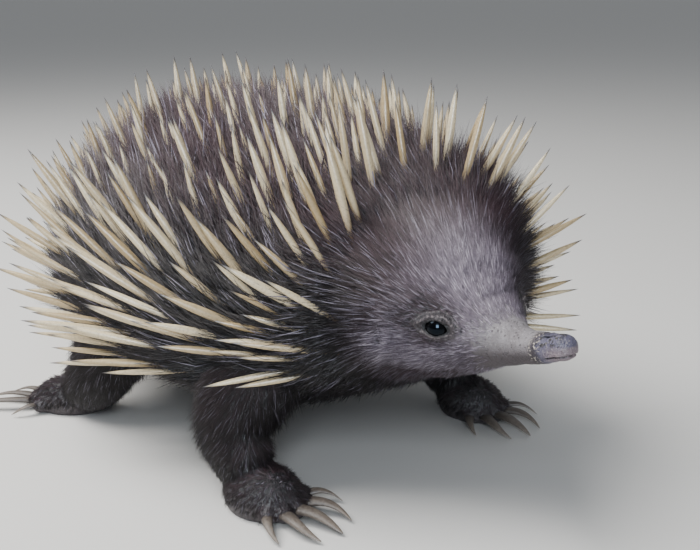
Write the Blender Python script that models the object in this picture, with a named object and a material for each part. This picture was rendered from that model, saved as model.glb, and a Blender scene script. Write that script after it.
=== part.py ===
"""A short-beaked echidna at life size, standing still on four feet with its beak raised.

The body is one lofted form from rump to beak tip, parted by thin cuts into torso, neck, head and
beak. Its surface takes in the dense lower part of the coat. Spines grow from torso, neck and tail,
each fused to its own part. Legs, feet, claws, eyes and ears are seated on what they grow from, a
thin gap clear of it. The head is turned a little to the animal's right.

Sizes are in millimetres. +X is forward, +Y is the animal's left and +Z is up, and the soles lie at zero.
"""

import math
from typing import NamedTuple

import bmesh
import bpy
import numpy as np
from mathutils import Matrix, Vector

MM = 0.001
GAP = 0.3
SEED = 11


class Station(NamedTuple):
    """One cross-section of the body: its middle, how far the skin lies from it, and the coat's core.

    The core is the depth of dense coat that the solid takes in over the skin.
    """

    along: float
    side: float
    height: float
    half_width: float
    above: float
    below: float
    core: float


STATIONS = (
    Station(-66.0, 0.0, 75.5, 66.0, 53.5, 50.5, 11.0),
    Station(-50.0, 0.0, 76.5, 73.0, 59.0, 55.5, 11.5),
    Station(-20.0, 0.0, 78.0, 80.0, 64.0, 59.5, 12.0),
    Station(20.0, 0.0, 79.0, 80.0, 64.0, 59.5, 12.0),
    Station(55.0, -0.3, 82.5, 73.5, 57.0, 54.0, 12.0),
    Station(84.0, -1.6, 86.0, 61.5, 47.5, 45.0, 11.0),
    Station(104.0, -3.8, 88.0, 51.0, 40.0, 40.5, 8.0),
    Station(121.0, -6.2, 87.0, 42.0, 34.5, 35.0, 4.5),
    Station(135.0, -8.7, 84.0, 32.0, 27.0, 27.0, 2.2),
    Station(147.0, -11.0, 81.5, 23.0, 21.0, 18.7, 0.7),
    Station(158.0, -13.3, 81.5, 15.0, 13.5, 12.7, 0.0),
    Station(167.0, -15.4, 81.9, 10.0, 9.0, 8.8, 0.0),
    Station(177.5, -17.9, 83.6, 7.2, 6.4, 6.3, 0.0),
    Station(187.0, -20.3, 86.3, 6.2, 5.6, 5.5, 0.0),
    Station(194.5, -22.2, 89.0, 5.4, 4.8, 4.7, 0.0),
)
ALONG, SIDE, HEIGHT, HALF_WIDTH, ABOVE, BELOW, CORE = np.array(STATIONS).T
RUMP_ROUNDING = 36.0
TIP_ROUNDING = 4.4
FULLNESS = 2.2
SLOPE_REACH = 9.0
BELLY_CORE_SHARE = 0.25
BELLY_COSINE = -0.8
FLANK_COSINE = -0.25

TORSO_NECK_CUT = 88.0
NECK_HEAD_CUT = 124.0
HEAD_BEAK_CUT = 162.0
BODY_SIDES = 36
TORSO_STEP = 16.0
NECK_STEP = 9.0
HEAD_STEP = 6.5
BEAK_STEP = 5.0
BEAK_SIDES = 20
DOME_RINGS = 4

EYE_ALONG = 147.0
EYE_ANGLE = 78.0
EYE_RADIUS = 4.8
EYE_DEPTH = 3.2
LID_RADIUS = 5.5
LID_THICKNESS = 1.7
LID_STRETCH = 1.12
LID_NARROWING = 0.78

EAR_ALONG = 131.0
EAR_ANGLE = 96.0
EAR_HALF_SIZES = (3.0, 7.5, 4.0)
EAR_SLIT_HALF_SIZES = (1.2, 5.4, 3.4)
EAR_SLIT_PROUD = 2.4

NOSTRIL_ALONG = 191.5
NOSTRIL_ANGLE = 26.0
NOSTRIL_HALF_SIZES = (1.9, 0.7, 1.3)
MOUTH_LENGTH = 13.0
MOUTH_THICKNESS = 0.6
MOUTH_DROP = 2.3

TAIL_ROOT = Vector((-80.0, 0.0, 51.0))
TAIL_TIP = Vector((-128.0, 0.0, 37.0))
TAIL_ROOT_RADIUS = 15.0
TAIL_TIP_RADIUS = 3.0
TAIL_SHARES = (0.0, 0.3, 0.6, 0.8, 0.93)

SPINE_SPACING = 13.6
FLANK_SPINE_LENGTH = 53.0
BACK_SPINE_LENGTH = 40.0
COLLAR_SPINE_LENGTH = 36.0
RUMP_SPINE_SHARE = 0.74
BACK_NORMALS = (0.0, 0.8)
COLLAR_ALONG = (40.0, 100.0)
RUMP_ALONG = (-40.0, -100.0)
TAIL_SPINE_LENGTH = 27.0
SPINE_RADIUS = 1.95
SPINE_ROOT_DEPTH = 3.0
SPINE_ROOT_SHARE = 0.85
SPINE_LEAST_LIFT = 0.34
SPINE_SIDES = 4
SPINE_FACING = (0.31, 0.87, 0.39)
SPINE_SWELL_AT = 0.35
SPINE_CUT_MARGIN = 5.5
SPINE_JITTER = 0.085
SPINE_CANDIDATES = 9000
COLLAR_FRONT_TOP = 109.0
COLLAR_FRONT_SIDE = 118.0
SPINE_LOWEST_NORMAL = -0.62
BACKWARD_SHARE = 0.38
OUTWARD_SHARE = 0.36
UPWARD_SHARE_LOW = 0.22
UPWARD_SHARE_HIGH = 1.0
OVERHEAD_NORMALS = (-0.25, 0.6)
LEFT_COLLAR_SHARES = (0.0, 1.2, 0.6)
FLARE_ALONG = (66.0, 100.0)
FLARE_NORMALS = (0.0, 0.35)
LENGTHS_DRAWN = (0.88, 1.1)
SPACINGS_DRAWN = (0.94, 1.06)
TAIL_SPINE_LEAN = 1.5
TAIL_SPINE_ROWS = ((0.72, (-66.0, -22.0, 22.0, 66.0)), (0.88, (-44.0, 0.0, 44.0)))
SPINY_NODES = ("torso", "neck", "tail")
CUTTERS = "cutters"
SHARP_ANGLE = 40.0
CLEAR_SAMPLES = 14


class LegPoint(NamedTuple):
    """A place along a left leg: its middle and the half sizes across and fore-and-aft."""

    x: float
    y: float
    z: float
    across: float
    fore_and_aft: float


class Toe(NamedTuple):
    """One toe: how far it turns from the foot's own line, and its claw's length and half width."""

    turn: float
    claw_length: float
    claw_half_width: float


class Foot(NamedTuple):
    """A left foot, flat on the ground, and its five toes from the inner one outwards."""

    name: str
    x: float
    y: float
    half_sizes: tuple
    heading: float
    toes: tuple


FORELEG = (
    LegPoint(57.0, 42.0, 57.0, 20.0, 22.0),
    LegPoint(57.0, 59.0, 43.0, 17.5, 21.0),
    LegPoint(59.0, 69.0, 28.5, 13.5, 16.5),
    LegPoint(69.0, 71.0, 16.0, 12.0, 13.5),
    LegPoint(77.0, 71.0, 10.0, 8.0, 8.0),
)
HINDLEG = (
    LegPoint(-46.0, 42.0, 55.0, 22.0, 26.0),
    LegPoint(-45.0, 59.0, 42.0, 18.5, 24.0),
    LegPoint(-47.0, 69.0, 27.5, 14.0, 18.5),
    LegPoint(-59.0, 72.0, 15.0, 12.0, 13.5),
    LegPoint(-68.0, 73.0, 10.0, 8.0, 8.0),
)
LEG_SIDES = 12
LEG_RINGS = 7
FOREFOOT = Foot(
    "forefoot",
    81.0,
    71.0,
    (18.5, 15.5, 12.5),
    -8.0,
    (
        Toe(-48.0, 12.0, 2.6),
        Toe(-24.0, 18.0, 3.5),
        Toe(0.0, 20.0, 3.8),
        Toe(24.0, 18.0, 3.5),
        Toe(48.0, 13.0, 2.6),
    ),
)
HINDFOOT = Foot(
    "hindfoot",
    -72.0,
    74.0,
    (19.5, 13.5, 11.5),
    144.0,
    (
        Toe(-48.0, 10.0, 2.1),
        Toe(-20.0, 33.0, 2.9),
        Toe(2.0, 25.0, 2.7),
        Toe(23.0, 17.0, 2.3),
        Toe(45.0, 13.0, 2.1),
    ),
)
FOOT_CENTRE_HEIGHT = 5.5
TOE_HALF_SIZES = (6.5, 3.9, 4.3)
TOE_CENTRE_HEIGHT = 4.3
TOE_REACH_SHARE = 0.9
CLAW_HEIGHT = 4.6
CLAW_TIP_HEIGHT = 1.6
CLAW_ARCH = 1.6
CLAW_FLATNESS = 0.62
CLAW_SIDES = 6
CLAW_RINGS = 4
CLAW_INSET = 3.5
CLAW_CURL = 16.0
CLAW_CURL_FULL_TURN = 20.0
CLAW_FALL_POWER = 1.6
CLAW_TAPER_POWER = 0.55
GROUND_HALF_SIZE = 400.0


class Finish(NamedTuple):
    """A surface's colour, roughness and metallic value."""

    name: str
    colour: tuple
    roughness: float
    metallic: float


SPINY_COAT = Finish("spiny_coat", (0.30, 0.24, 0.17), 0.7, 0.0)
COAT = Finish("coat", (0.085, 0.066, 0.062), 0.85, 0.0)
BARE_SKIN = Finish("bare_skin", (0.20, 0.18, 0.185), 0.6, 0.0)
HORN = Finish("horn", (0.10, 0.082, 0.070), 0.45, 0.0)
EYE = Finish("eye", (0.008, 0.009, 0.012), 0.08, 0.0)


def slopes(xs, ys):
    """Tangents at the points that keep a curve through them from overshooting."""
    steps = np.diff(xs)
    rises = np.diff(ys) / steps
    found = np.zeros_like(ys)
    found[0], found[-1] = rises[0], rises[-1]
    for i in range(1, len(xs) - 1):
        before, after = rises[i - 1], rises[i]
        if before * after > 0:
            weight_before = 2 * steps[i] + steps[i - 1]
            weight_after = steps[i] + 2 * steps[i - 1]
            found[i] = (weight_before + weight_after) / (weight_before / before + weight_after / after)
    return found


def eased(xs, ys, x):
    """The smooth curve through the points, read at x, and held at its end values past them."""
    x = np.clip(x, xs[0], xs[-1])
    i = np.clip(np.searchsorted(xs, x, side="right") - 1, 0, len(xs) - 2)
    step = xs[i + 1] - xs[i]
    t = (x - xs[i]) / step
    slope = slopes(xs, ys)
    return (
        (1 + 2 * t) * (1 - t) ** 2 * ys[i]
        + t * (1 - t) ** 2 * step * slope[i]
        + t * t * (3 - 2 * t) * ys[i + 1]
        - t * t * (1 - t) * step * slope[i + 1]
    )


def smooth_share(low, high, value):
    """0 below low, 1 above high, and a smooth change between."""
    t = np.clip((value - low) / (high - low), 0, 1)
    return t * t * (3 - 2 * t)


def unit(vectors):
    """The vectors made one long."""
    return vectors / np.linalg.norm(vectors, axis=-1, keepdims=True)


def body_points(along, angle, grow=0.0):
    """Points of the body's surface, moved out by grow. The angle is from the top towards the left."""
    along, angle = np.broadcast_arrays(np.asarray(along, float), np.asarray(angle, float))
    inside = np.clip(along, ALONG[0], ALONG[-1])
    back, front = np.maximum(inside - SLOPE_REACH, ALONG[0]), np.minimum(inside + SLOPE_REACH, ALONG[-1])
    side_slope = (eased(ALONG, SIDE, front) - eased(ALONG, SIDE, back)) / (front - back)
    height_slope = (eased(ALONG, HEIGHT, front) - eased(ALONG, HEIGHT, back)) / (front - back)
    forward = unit(np.stack([np.ones_like(inside), side_slope, height_slope], axis=-1))
    left = unit(np.stack([-side_slope, np.ones_like(inside), np.zeros_like(inside)], axis=-1))
    up = np.cross(forward, left)
    middle = np.stack([inside, eased(ALONG, SIDE, inside), eased(ALONG, HEIGHT, inside)], axis=-1)
    middle = middle + forward * (along - inside)[..., None]
    cosine, sine = np.cos(angle), np.sin(angle)
    cover = BELLY_CORE_SHARE + (1 - BELLY_CORE_SHARE) * smooth_share(BELLY_COSINE, FLANK_COSINE, cosine)
    depth = eased(ALONG, CORE, inside) * cover + grow
    behind = (ALONG[0] - along) / (RUMP_ROUNDING + CORE[0] + grow)
    ahead = (along - ALONG[-1]) / (TIP_ROUNDING + grow)
    rounding = np.sqrt(np.clip(1 - np.clip(np.maximum(behind, ahead), 0, 1) ** 2, 0, 1))
    across = (eased(ALONG, HALF_WIDTH, inside) + depth) * rounding
    rise = np.where(cosine > 0, eased(ALONG, ABOVE, inside), eased(ALONG, BELOW, inside)) + depth
    power = 2 / FULLNESS
    to_left = (np.sign(sine) * np.abs(sine) ** power * across)[..., None]
    to_top = (np.sign(cosine) * np.abs(cosine) ** power * rise * rounding)[..., None]
    return middle + left * to_left + up * to_top


def body_frames(along, angle):
    """Where the surface lies, its outward normal, and its direction towards the beak."""
    small = 0.02
    here = body_points(along, angle)
    forward = body_points(along + 0.5, angle) - body_points(along - 0.5, angle)
    around = body_points(along, angle + small) - body_points(along, angle - small)
    normal = unit(np.cross(forward, around))
    return here, normal, unit(forward)


def add_object(name, mesh, finish, collection):
    """A new object of the mesh, in metres, with its material. A cutter shows as a wire only."""
    material = bpy.data.materials.get(finish.name)
    if material is None:
        material = bpy.data.materials.new(finish.name)
        material.use_nodes = True
        shader = material.node_tree.nodes["Principled BSDF"]
        shader.inputs["Base Color"].default_value = (*finish.colour, 1.0)
        shader.inputs["Roughness"].default_value = finish.roughness
        shader.inputs["Metallic"].default_value = finish.metallic
        material.diffuse_color = (*finish.colour, 1.0)
    mesh.materials.append(material)
    made = bpy.data.objects.new(name, mesh)
    made.hide_render = collection.name == CUTTERS
    made.display_type = "WIRE" if made.hide_render else "TEXTURED"
    collection.objects.link(made)
    return made


def loft_mesh(name, rings, tip=None, root=None):
    """A closed skin over rings of equal count. Each end is a flat cap, or a point where one is given."""
    shape = bmesh.new()
    rows = [[shape.verts.new(Vector(p) * MM) for p in ring] for ring in rings]
    count = len(rows[0])
    for lower, upper in zip(rows, rows[1:]):
        for i in range(count):
            j = (i + 1) % count
            shape.faces.new((lower[i], lower[j], upper[j], upper[i]))
    for row, point, order in ((rows[0], root, -1), (rows[-1], tip, 1)):
        if point is None:
            shape.faces.new(row[::order])
            continue
        pole = shape.verts.new(Vector(point) * MM)
        for i in range(count):
            edge = (row[i], row[(i + 1) % count])
            shape.faces.new((*edge[::order], pole))
    bmesh.ops.recalc_face_normals(shape, faces=shape.faces)
    mesh = bpy.data.meshes.new(name)
    shape.to_mesh(mesh)
    shape.free()
    return mesh


def ball_mesh(name, half_sizes, place, segments=12, rows=8):
    """An ellipsoid of those half sizes, turned and moved by the matrix."""
    shape = bmesh.new()
    scale = Matrix.Diagonal((*[size * MM for size in half_sizes], 1.0))
    turned = place.copy()
    turned.translation = place.translation * MM
    bmesh.ops.create_uvsphere(
        shape, u_segments=segments, v_segments=rows, radius=1.0, matrix=turned @ scale
    )
    mesh = bpy.data.meshes.new(name)
    shape.to_mesh(mesh)
    shape.free()
    return mesh


def ring_matrix(origin, first, second, third):
    """A matrix with these three axes and this origin."""
    columns = [*first, 0.0, *second, 0.0, *third, 0.0, *origin, 1.0]
    return Matrix([columns[0:4], columns[4:8], columns[8:12], columns[12:16]]).transposed()


def boolean(target, operand, operation, solver="EXACT"):
    """Joins or cuts the target with an object or a collection, applies it, and removes what was used up."""
    modifier = target.modifiers.new("join", "BOOLEAN")
    modifier.operation = operation
    modifier.solver = solver
    whole_collection = isinstance(operand, bpy.types.Collection)
    if whole_collection:
        modifier.operand_type = "COLLECTION"
        modifier.collection = operand
    else:
        modifier.object = operand
    graph = bpy.context.evaluated_depsgraph_get()
    mesh = bpy.data.meshes.new_from_object(target.evaluated_get(graph))
    target.modifiers.clear()
    target.data = mesh
    for used in list(operand.objects) if whole_collection else [operand]:
        bpy.data.objects.remove(used)
    if whole_collection:
        bpy.data.collections.remove(operand)
    keep_largest_surface(target)


def keep_largest_surface(target):
    """Drops every closed surface of the mesh but the largest, such as a hollow that joining has sealed."""
    shape = bmesh.new()
    shape.from_mesh(target.data)
    left = set(shape.verts)
    surfaces = []
    while left:
        found, edge = set(), [left.pop()]
        while edge:
            vertex = edge.pop()
            found.add(vertex)
            near = {e.other_vert(vertex) for e in vertex.link_edges} & left
            left -= near
            edge.extend(near)
        surfaces.append(found)
    surfaces.sort(key=len)
    bmesh.ops.delete(shape, geom=[v for found in surfaces[:-1] for v in found], context="VERTS")
    shape.to_mesh(target.data)
    shape.free()


def helpers(name):
    """A new collection in the scene."""
    collection = bpy.data.collections.new(name)
    bpy.context.scene.collection.children.link(collection)
    return collection


def body_loft(name, start, end, step, sides, grow=0.0):
    """The body's form between two cross-sections, with a rounded rump or beak tip where it reaches them."""
    angles = np.arange(sides) * 2 * math.pi / sides
    first_plain, last_plain = max(start, ALONG[0]), min(end, ALONG[-1])
    count = max(2, math.ceil((last_plain - first_plain) / step) + 1)
    places = list(np.linspace(first_plain, last_plain, count))
    turns = [math.pi / 2 * i / DOME_RINGS for i in range(1, DOME_RINGS)]
    root = tip = None
    if start < ALONG[0]:
        reach = RUMP_ROUNDING + CORE[0] + grow
        places = [ALONG[0] - reach * math.sin(turn) for turn in reversed(turns)] + places
        root = body_points(ALONG[0] - reach, 0.0, grow)
    if end > ALONG[-1]:
        reach = TIP_ROUNDING + grow
        places += [ALONG[-1] + reach * math.sin(turn) for turn in turns]
        tip = body_points(ALONG[-1] + reach, 0.0, grow)
    rings = [body_points(place, angles, grow) for place in places]
    return loft_mesh(name, rings, tip=tip, root=root)


def torso_mesh(grow=0.0):
    """The torso from the rounded rump to the neck."""
    return body_loft("torso", -math.inf, TORSO_NECK_CUT - GAP / 2 + grow, TORSO_STEP, BODY_SIDES, grow)


def head_mesh(grow=0.0):
    """The head from the neck to the root of the beak."""
    start, end = NECK_HEAD_CUT + GAP / 2, HEAD_BEAK_CUT - GAP / 2
    return body_loft("head", start, end, HEAD_STEP, BODY_SIDES, grow)


def surface_matrix(along, angle, depth):
    """Axes on the body's surface: X towards the beak, Z outwards, and the origin that far under it."""
    here, normal, forward = body_frames(along, angle)
    return ring_matrix(here - normal * depth, forward, np.cross(normal, forward), normal)


def make_head(parts, cutters):
    """The head with an eye socket and raised lids on each side."""
    head = add_object("head", head_mesh(), COAT, parts)
    lids = helpers("lids")
    for sign in (1, -1):
        place = surface_matrix(EYE_ALONG, sign * math.radians(EYE_ANGLE), 0.0)
        bpy.ops.mesh.primitive_torus_add(
            major_radius=LID_RADIUS * MM,
            minor_radius=LID_THICKNESS * MM,
            major_segments=18,
            minor_segments=8,
        )
        torus = bpy.context.object
        turned = place.copy()
        turned.translation = place.translation * MM
        torus.data.transform(turned @ Matrix.Diagonal((LID_STRETCH, LID_NARROWING, 1.0, 1.0)))
        for owner in torus.users_collection:
            owner.objects.unlink(torus)
        lids.objects.link(torus)
    boolean(head, lids, "UNION")
    for sign in (1, -1):
        place = surface_matrix(EYE_ALONG, sign * math.radians(EYE_ANGLE), EYE_DEPTH)
        socket = ball_mesh("socket", [EYE_RADIUS + GAP] * 3, place, 16, 12)
        boolean(head, add_object("socket", socket, COAT, cutters), "DIFFERENCE")


def make_eyes(parts):
    """A round eye in each socket."""
    for side, sign in (("left", 1), ("right", -1)):
        place = surface_matrix(EYE_ALONG, sign * math.radians(EYE_ANGLE), EYE_DEPTH)
        ball = ball_mesh("eye", [EYE_RADIUS] * 3, place, 16, 12)
        add_object("eye_" + side, ball, EYE, parts)


def make_ears(parts, cutters):
    """A low upright rim on each side of the head, with the slit of the ear in it."""
    for side, sign in (("left", 1), ("right", -1)):
        angle = sign * math.radians(EAR_ANGLE)
        rim = ball_mesh("ear", EAR_HALF_SIZES, surface_matrix(EAR_ALONG, angle, 0.0), 14, 8)
        ear = add_object("ear_" + side, rim, BARE_SKIN, parts)
        slit_depth = -EAR_SLIT_PROUD - EAR_SLIT_HALF_SIZES[2] / 2
        slit_place = surface_matrix(EAR_ALONG, angle, slit_depth)
        slit = ball_mesh("slit", EAR_SLIT_HALF_SIZES, slit_place, 10, 8)
        boolean(ear, add_object("slit", slit, BARE_SKIN, cutters), "DIFFERENCE")
        boolean(ear, add_object("head_cut", head_mesh(GAP), COAT, cutters), "DIFFERENCE")


def make_beak(parts, cutters):
    """The bare beak, with two nostrils on its top and the line of the small mouth at its tip."""
    start = HEAD_BEAK_CUT + GAP / 2
    mesh = body_loft("beak", start, math.inf, BEAK_STEP, BEAK_SIDES)
    beak = add_object("beak", mesh, BARE_SKIN, parts)
    for sign in (1, -1):
        place = surface_matrix(NOSTRIL_ALONG, sign * math.radians(NOSTRIL_ANGLE), 0.0)
        nostril = ball_mesh("nostril", NOSTRIL_HALF_SIZES, place, 10, 6)
        boolean(beak, add_object("nostril", nostril, BARE_SKIN, cutters), "DIFFERENCE")
    tip = body_points(ALONG[-1] + TIP_ROUNDING, 0.0)
    place = surface_matrix(ALONG[-1], 0.0, ABOVE[-1])
    place.translation = Vector(tip) - Vector((0.0, 0.0, MOUTH_DROP))
    shape = bmesh.new()
    half_sizes = (MOUTH_LENGTH * MM, 2 * HALF_WIDTH[-1] * MM, MOUTH_THICKNESS / 2 * MM)
    bmesh.ops.create_cube(shape, size=2.0, matrix=Matrix.Diagonal((*half_sizes, 1.0)))
    place.translation *= MM
    shape.transform(place)
    slit = bpy.data.meshes.new("mouth")
    shape.to_mesh(slit)
    shape.free()
    boolean(beak, add_object("mouth", slit, BARE_SKIN, cutters), "DIFFERENCE")


def tail_mesh():
    """The short tail as a tapering stub with a blunt end."""
    axis = (TAIL_TIP - TAIL_ROOT).normalized()
    left = Vector((0.0, 1.0, 0.0))
    up = axis.cross(left)
    turns = [2 * math.pi * i / LEG_SIDES for i in range(LEG_SIDES)]
    rings = []
    for share in TAIL_SHARES:
        radius = TAIL_TIP_RADIUS + (TAIL_ROOT_RADIUS - TAIL_TIP_RADIUS) * math.sqrt(1 - share)
        middle = TAIL_ROOT.lerp(TAIL_TIP, share)
        rings.append([middle + (left * math.cos(a) + up * math.sin(a)) * radius for a in turns])
    return loft_mesh("tail", rings, tip=TAIL_TIP)


class Spine(NamedTuple):
    """One spine: where it leaves the surface, its direction, how far it stands out, and its depth."""

    root: np.ndarray
    aim: np.ndarray
    length: float
    sink: float
    node: str


def spine_aims(normals, along, rng):
    """Directions that lean back, up and out, upright over the back, and flared at the left collar."""
    overhead = smooth_share(*OVERHEAD_NORMALS, normals[:, 2])
    upward = UPWARD_SHARE_LOW + (UPWARD_SHARE_HIGH - UPWARD_SHARE_LOW) * overhead
    backward, outward = (np.full_like(upward, share) for share in (BACKWARD_SHARE, OUTWARD_SHARE))
    shares = np.stack([backward, outward, upward], axis=1)
    flared = smooth_share(*FLARE_ALONG, along) * smooth_share(*FLARE_NORMALS, normals[:, 1])
    shares = shares + (np.array(LEFT_COLLAR_SHARES) - shares) * flared[:, None]
    aims = shares[:, 1:2] * normals
    aims[:, 0] -= shares[:, 0]
    aims[:, 2] += shares[:, 2]
    aims = unit(unit(aims) + rng.normal(0.0, SPINE_JITTER, aims.shape))
    short_of_lift = np.clip(SPINE_LEAST_LIFT - (aims * normals).sum(axis=1), 0.0, None)
    return unit(aims + normals * short_of_lift[:, None])


def spread_roots(rng):
    """Roots spread evenly over the spiny coat, with their place along the body."""
    rump_pole = ALONG[0] - RUMP_ROUNDING - CORE[0]
    along = rng.uniform(rump_pole + 1.0, COLLAR_FRONT_SIDE, SPINE_CANDIDATES)
    angle = rng.uniform(-math.pi, math.pi, SPINE_CANDIDATES)
    places, normals, _ = body_frames(along, angle)
    front = COLLAR_FRONT_TOP + (COLLAR_FRONT_SIDE - COLLAR_FRONT_TOP) * np.abs(np.sin(angle))
    wanted = (normals[:, 2] > SPINE_LOWEST_NORMAL) & (along < front)
    wanted &= np.abs(along - TORSO_NECK_CUT) > SPINE_CUT_MARGIN
    taken = []
    for i in np.flatnonzero(wanted):
        spacing = SPINE_SPACING * rng.uniform(*SPACINGS_DRAWN)
        if not taken or np.linalg.norm(places[taken] - places[i], axis=1).min() > spacing:
            taken.append(i)
    return along[taken], places[taken], normals[taken]


def body_spines(rng):
    """Every spine of torso and neck."""
    along, places, normals = spread_roots(rng)
    aims = spine_aims(normals, along, rng)
    back_share = smooth_share(*BACK_NORMALS, normals[:, 2])
    lengths = FLANK_SPINE_LENGTH + (BACK_SPINE_LENGTH - FLANK_SPINE_LENGTH) * back_share
    lengths = lengths + (COLLAR_SPINE_LENGTH - lengths) * smooth_share(*COLLAR_ALONG, along)
    lengths = lengths * (1 + (RUMP_SPINE_SHARE - 1) * smooth_share(*RUMP_ALONG, along))
    lift = (aims * normals).sum(axis=1)
    lengths = lengths * rng.uniform(*LENGTHS_DRAWN, len(lengths)) - eased(ALONG, CORE, along) / lift
    nodes = np.where(along > TORSO_NECK_CUT, "neck", "torso")
    return [
        Spine(place, aim, length, SPINE_ROOT_DEPTH / rise, str(node))
        for place, aim, length, rise, node in zip(places, aims, lengths, lift, nodes)
    ]


def tail_spines(rng):
    """A fan of shorter spines over the top and sides of the tail."""
    axis = np.array((TAIL_TIP - TAIL_ROOT).normalized())
    left = np.array([0.0, 1.0, 0.0])
    up = np.cross(left, axis)
    made = []
    for share, turns in TAIL_SPINE_ROWS:
        for turn in np.radians(turns):
            outward = up * math.cos(turn) + left * math.sin(turn)
            middle = np.array(TAIL_ROOT.lerp(TAIL_TIP, share))
            aim = unit(axis * TAIL_SPINE_LEAN + outward + rng.normal(0.0, SPINE_JITTER / 2, 3))
            made.append(Spine(middle, aim, TAIL_SPINE_LENGTH, 0.0, "tail"))
    return made


def spine_line(spine):
    """Points along a spine from its surface to its tip."""
    return spine.root + spine.aim * np.linspace(0.0, spine.length, CLEAR_SAMPLES)[:, None]


def obstacles():
    """Balls that stand for the legs, feet and tail, which spines keep clear of: middles and radii."""
    middles, radii = [], []
    for points, foot in ((FORELEG, FOREFOOT), (HINDLEG, HINDFOOT)):
        for sign in (1, -1):
            sections = leg_sections(points, sign, 3 * LEG_RINGS)
            middles += list(sections[:, :3])
            radii += list(sections[:, 3:].max(axis=1))
            middles.append(np.array([foot.x, foot.y * sign, FOOT_CENTRE_HEIGHT]))
            radii.append(foot.half_sizes[0] + TOE_HALF_SIZES[0])
            for toe, (x, y, heading) in zip(foot.toes, toe_places(foot, sign)):
                reach = (toe.claw_length + TOE_HALF_SIZES[0]) / 2
                turn = math.radians(heading)
                middle = (x + reach * math.cos(turn), y + reach * math.sin(turn), CLAW_HEIGHT)
                middles.append(np.array(middle))
                radii.append(reach)
    return np.array(middles), np.array(radii)


def clear_spines(spines):
    """The spines, less those that come too near a leg, the floor or a spine of another node."""
    middles, radii = obstacles()
    shares = np.linspace(0.0, 1.0, CLEAR_SAMPLES)
    tail_line = np.array([TAIL_ROOT.lerp(TAIL_TIP, share) for share in shares])
    kept = []
    for spine in sorted(spines, key=lambda one: SPINY_NODES.index(one.node)):
        line = spine_line(spine)
        others = [spine_line(other) for other in kept if other.node != spine.node]
        room = [
            (np.linalg.norm(line[:, None] - middles, axis=2) - radii).min() - SPINE_RADIUS,
            line[:, 2].min() - SPINE_RADIUS,
            *(np.linalg.norm(other[:, None] - line, axis=2).min() - 2 * SPINE_RADIUS for other in others),
        ]
        if spine.node != "tail":
            beside_tail = np.linalg.norm(tail_line[:, None] - line, axis=2).min()
            room.append(beside_tail - TAIL_ROOT_RADIUS - SPINE_RADIUS)
        if min(room) > 2 * GAP:
            kept.append(spine)
    return kept


def spine_mesh(spine):
    """A slender spindle: thick a little way out, and tapering to a point."""
    across = unit(np.cross(spine.aim, SPINE_FACING))
    over = np.cross(spine.aim, across)
    turns = np.arange(SPINE_SIDES) * 2 * math.pi / SPINE_SIDES
    circle = np.outer(np.cos(turns), across) + np.outer(np.sin(turns), over)
    rings = [
        spine.root - spine.aim * spine.sink + circle * SPINE_RADIUS * SPINE_ROOT_SHARE,
        spine.root + spine.aim * spine.length * SPINE_SWELL_AT + circle * SPINE_RADIUS,
    ]
    return loft_mesh("spine", rings, tip=spine.root + spine.aim * spine.length)


def grow_spines(node, spines):
    """Joins the node's own spines to it."""
    own = helpers("spines")
    for spine in spines:
        if spine.node == node.name:
            add_object("spine", spine_mesh(spine), SPINY_COAT, own)
    boolean(node, own, "UNION", "MANIFOLD")


def leg_sections(points, sign, count):
    """Middles and half sizes of evenly spaced sections of a leg, from the body down into the foot."""
    table = np.array(points)
    table[:, 1] *= sign
    knots = np.arange(len(table), dtype=float)
    places = np.linspace(0, len(table) - 1, count)
    return np.stack([eased(knots, column, places) for column in table.T], axis=1)


def leg_mesh(name, points, sign):
    """A leg as a smooth loft through its sections."""
    sections = leg_sections(points, sign, LEG_RINGS)
    middles = sections[:, :3]
    turns = np.arange(LEG_SIDES) * 2 * math.pi / LEG_SIDES
    rings = []
    for i, (middle, section) in enumerate(zip(middles, sections)):
        axis = unit(middles[min(i + 1, LEG_RINGS - 1)] - middles[max(i - 1, 0)])
        fore = unit(np.array([1.0, 0.0, 0.0]) - axis * axis[0])
        side = np.cross(axis, fore)
        across, fore_and_aft = section[3:]
        ring = np.outer(np.cos(turns) * fore_and_aft, fore)
        rings.append(middle + ring + np.outer(np.sin(turns) * across, side))
    return loft_mesh(name, rings)


def turn_matrix(x, y, z, heading):
    """A place whose X axis points along the heading, in degrees from straight ahead towards the left."""
    return Matrix.Translation((x, y, z)) @ Matrix.Rotation(math.radians(heading), 4, "Z")


def toe_places(foot, sign):
    """For each toe, the middle of its ball and the way that it points."""
    places = []
    for toe in foot.toes:
        heading = foot.heading + toe.turn
        along = math.radians(toe.turn)
        reach_x = foot.half_sizes[0] * TOE_REACH_SHARE * math.cos(along)
        reach_y = foot.half_sizes[1] * TOE_REACH_SHARE * math.sin(along)
        place = turn_matrix(foot.x, foot.y, TOE_CENTRE_HEIGHT, foot.heading)
        middle = place @ Vector((reach_x, reach_y, 0.0))
        places.append((middle.x, middle.y * sign, heading * sign))
    return places


def foot_meshes(foot, sign, grow=0.0):
    """The pad and toes of a foot, as balls that overlap, with the ground's flat as a cutter."""
    half_sizes = [size + grow for size in foot.half_sizes]
    pad_place = turn_matrix(foot.x, foot.y * sign, FOOT_CENTRE_HEIGHT, foot.heading * sign)
    pad = ball_mesh("pad", half_sizes, pad_place, 16, 10)
    toe_sizes = [size + grow for size in TOE_HALF_SIZES]
    toes = [
        ball_mesh("toe", toe_sizes, turn_matrix(x, y, TOE_CENTRE_HEIGHT, heading), 10, 6)
        for x, y, heading in toe_places(foot, sign)
    ]
    return pad, toes


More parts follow.
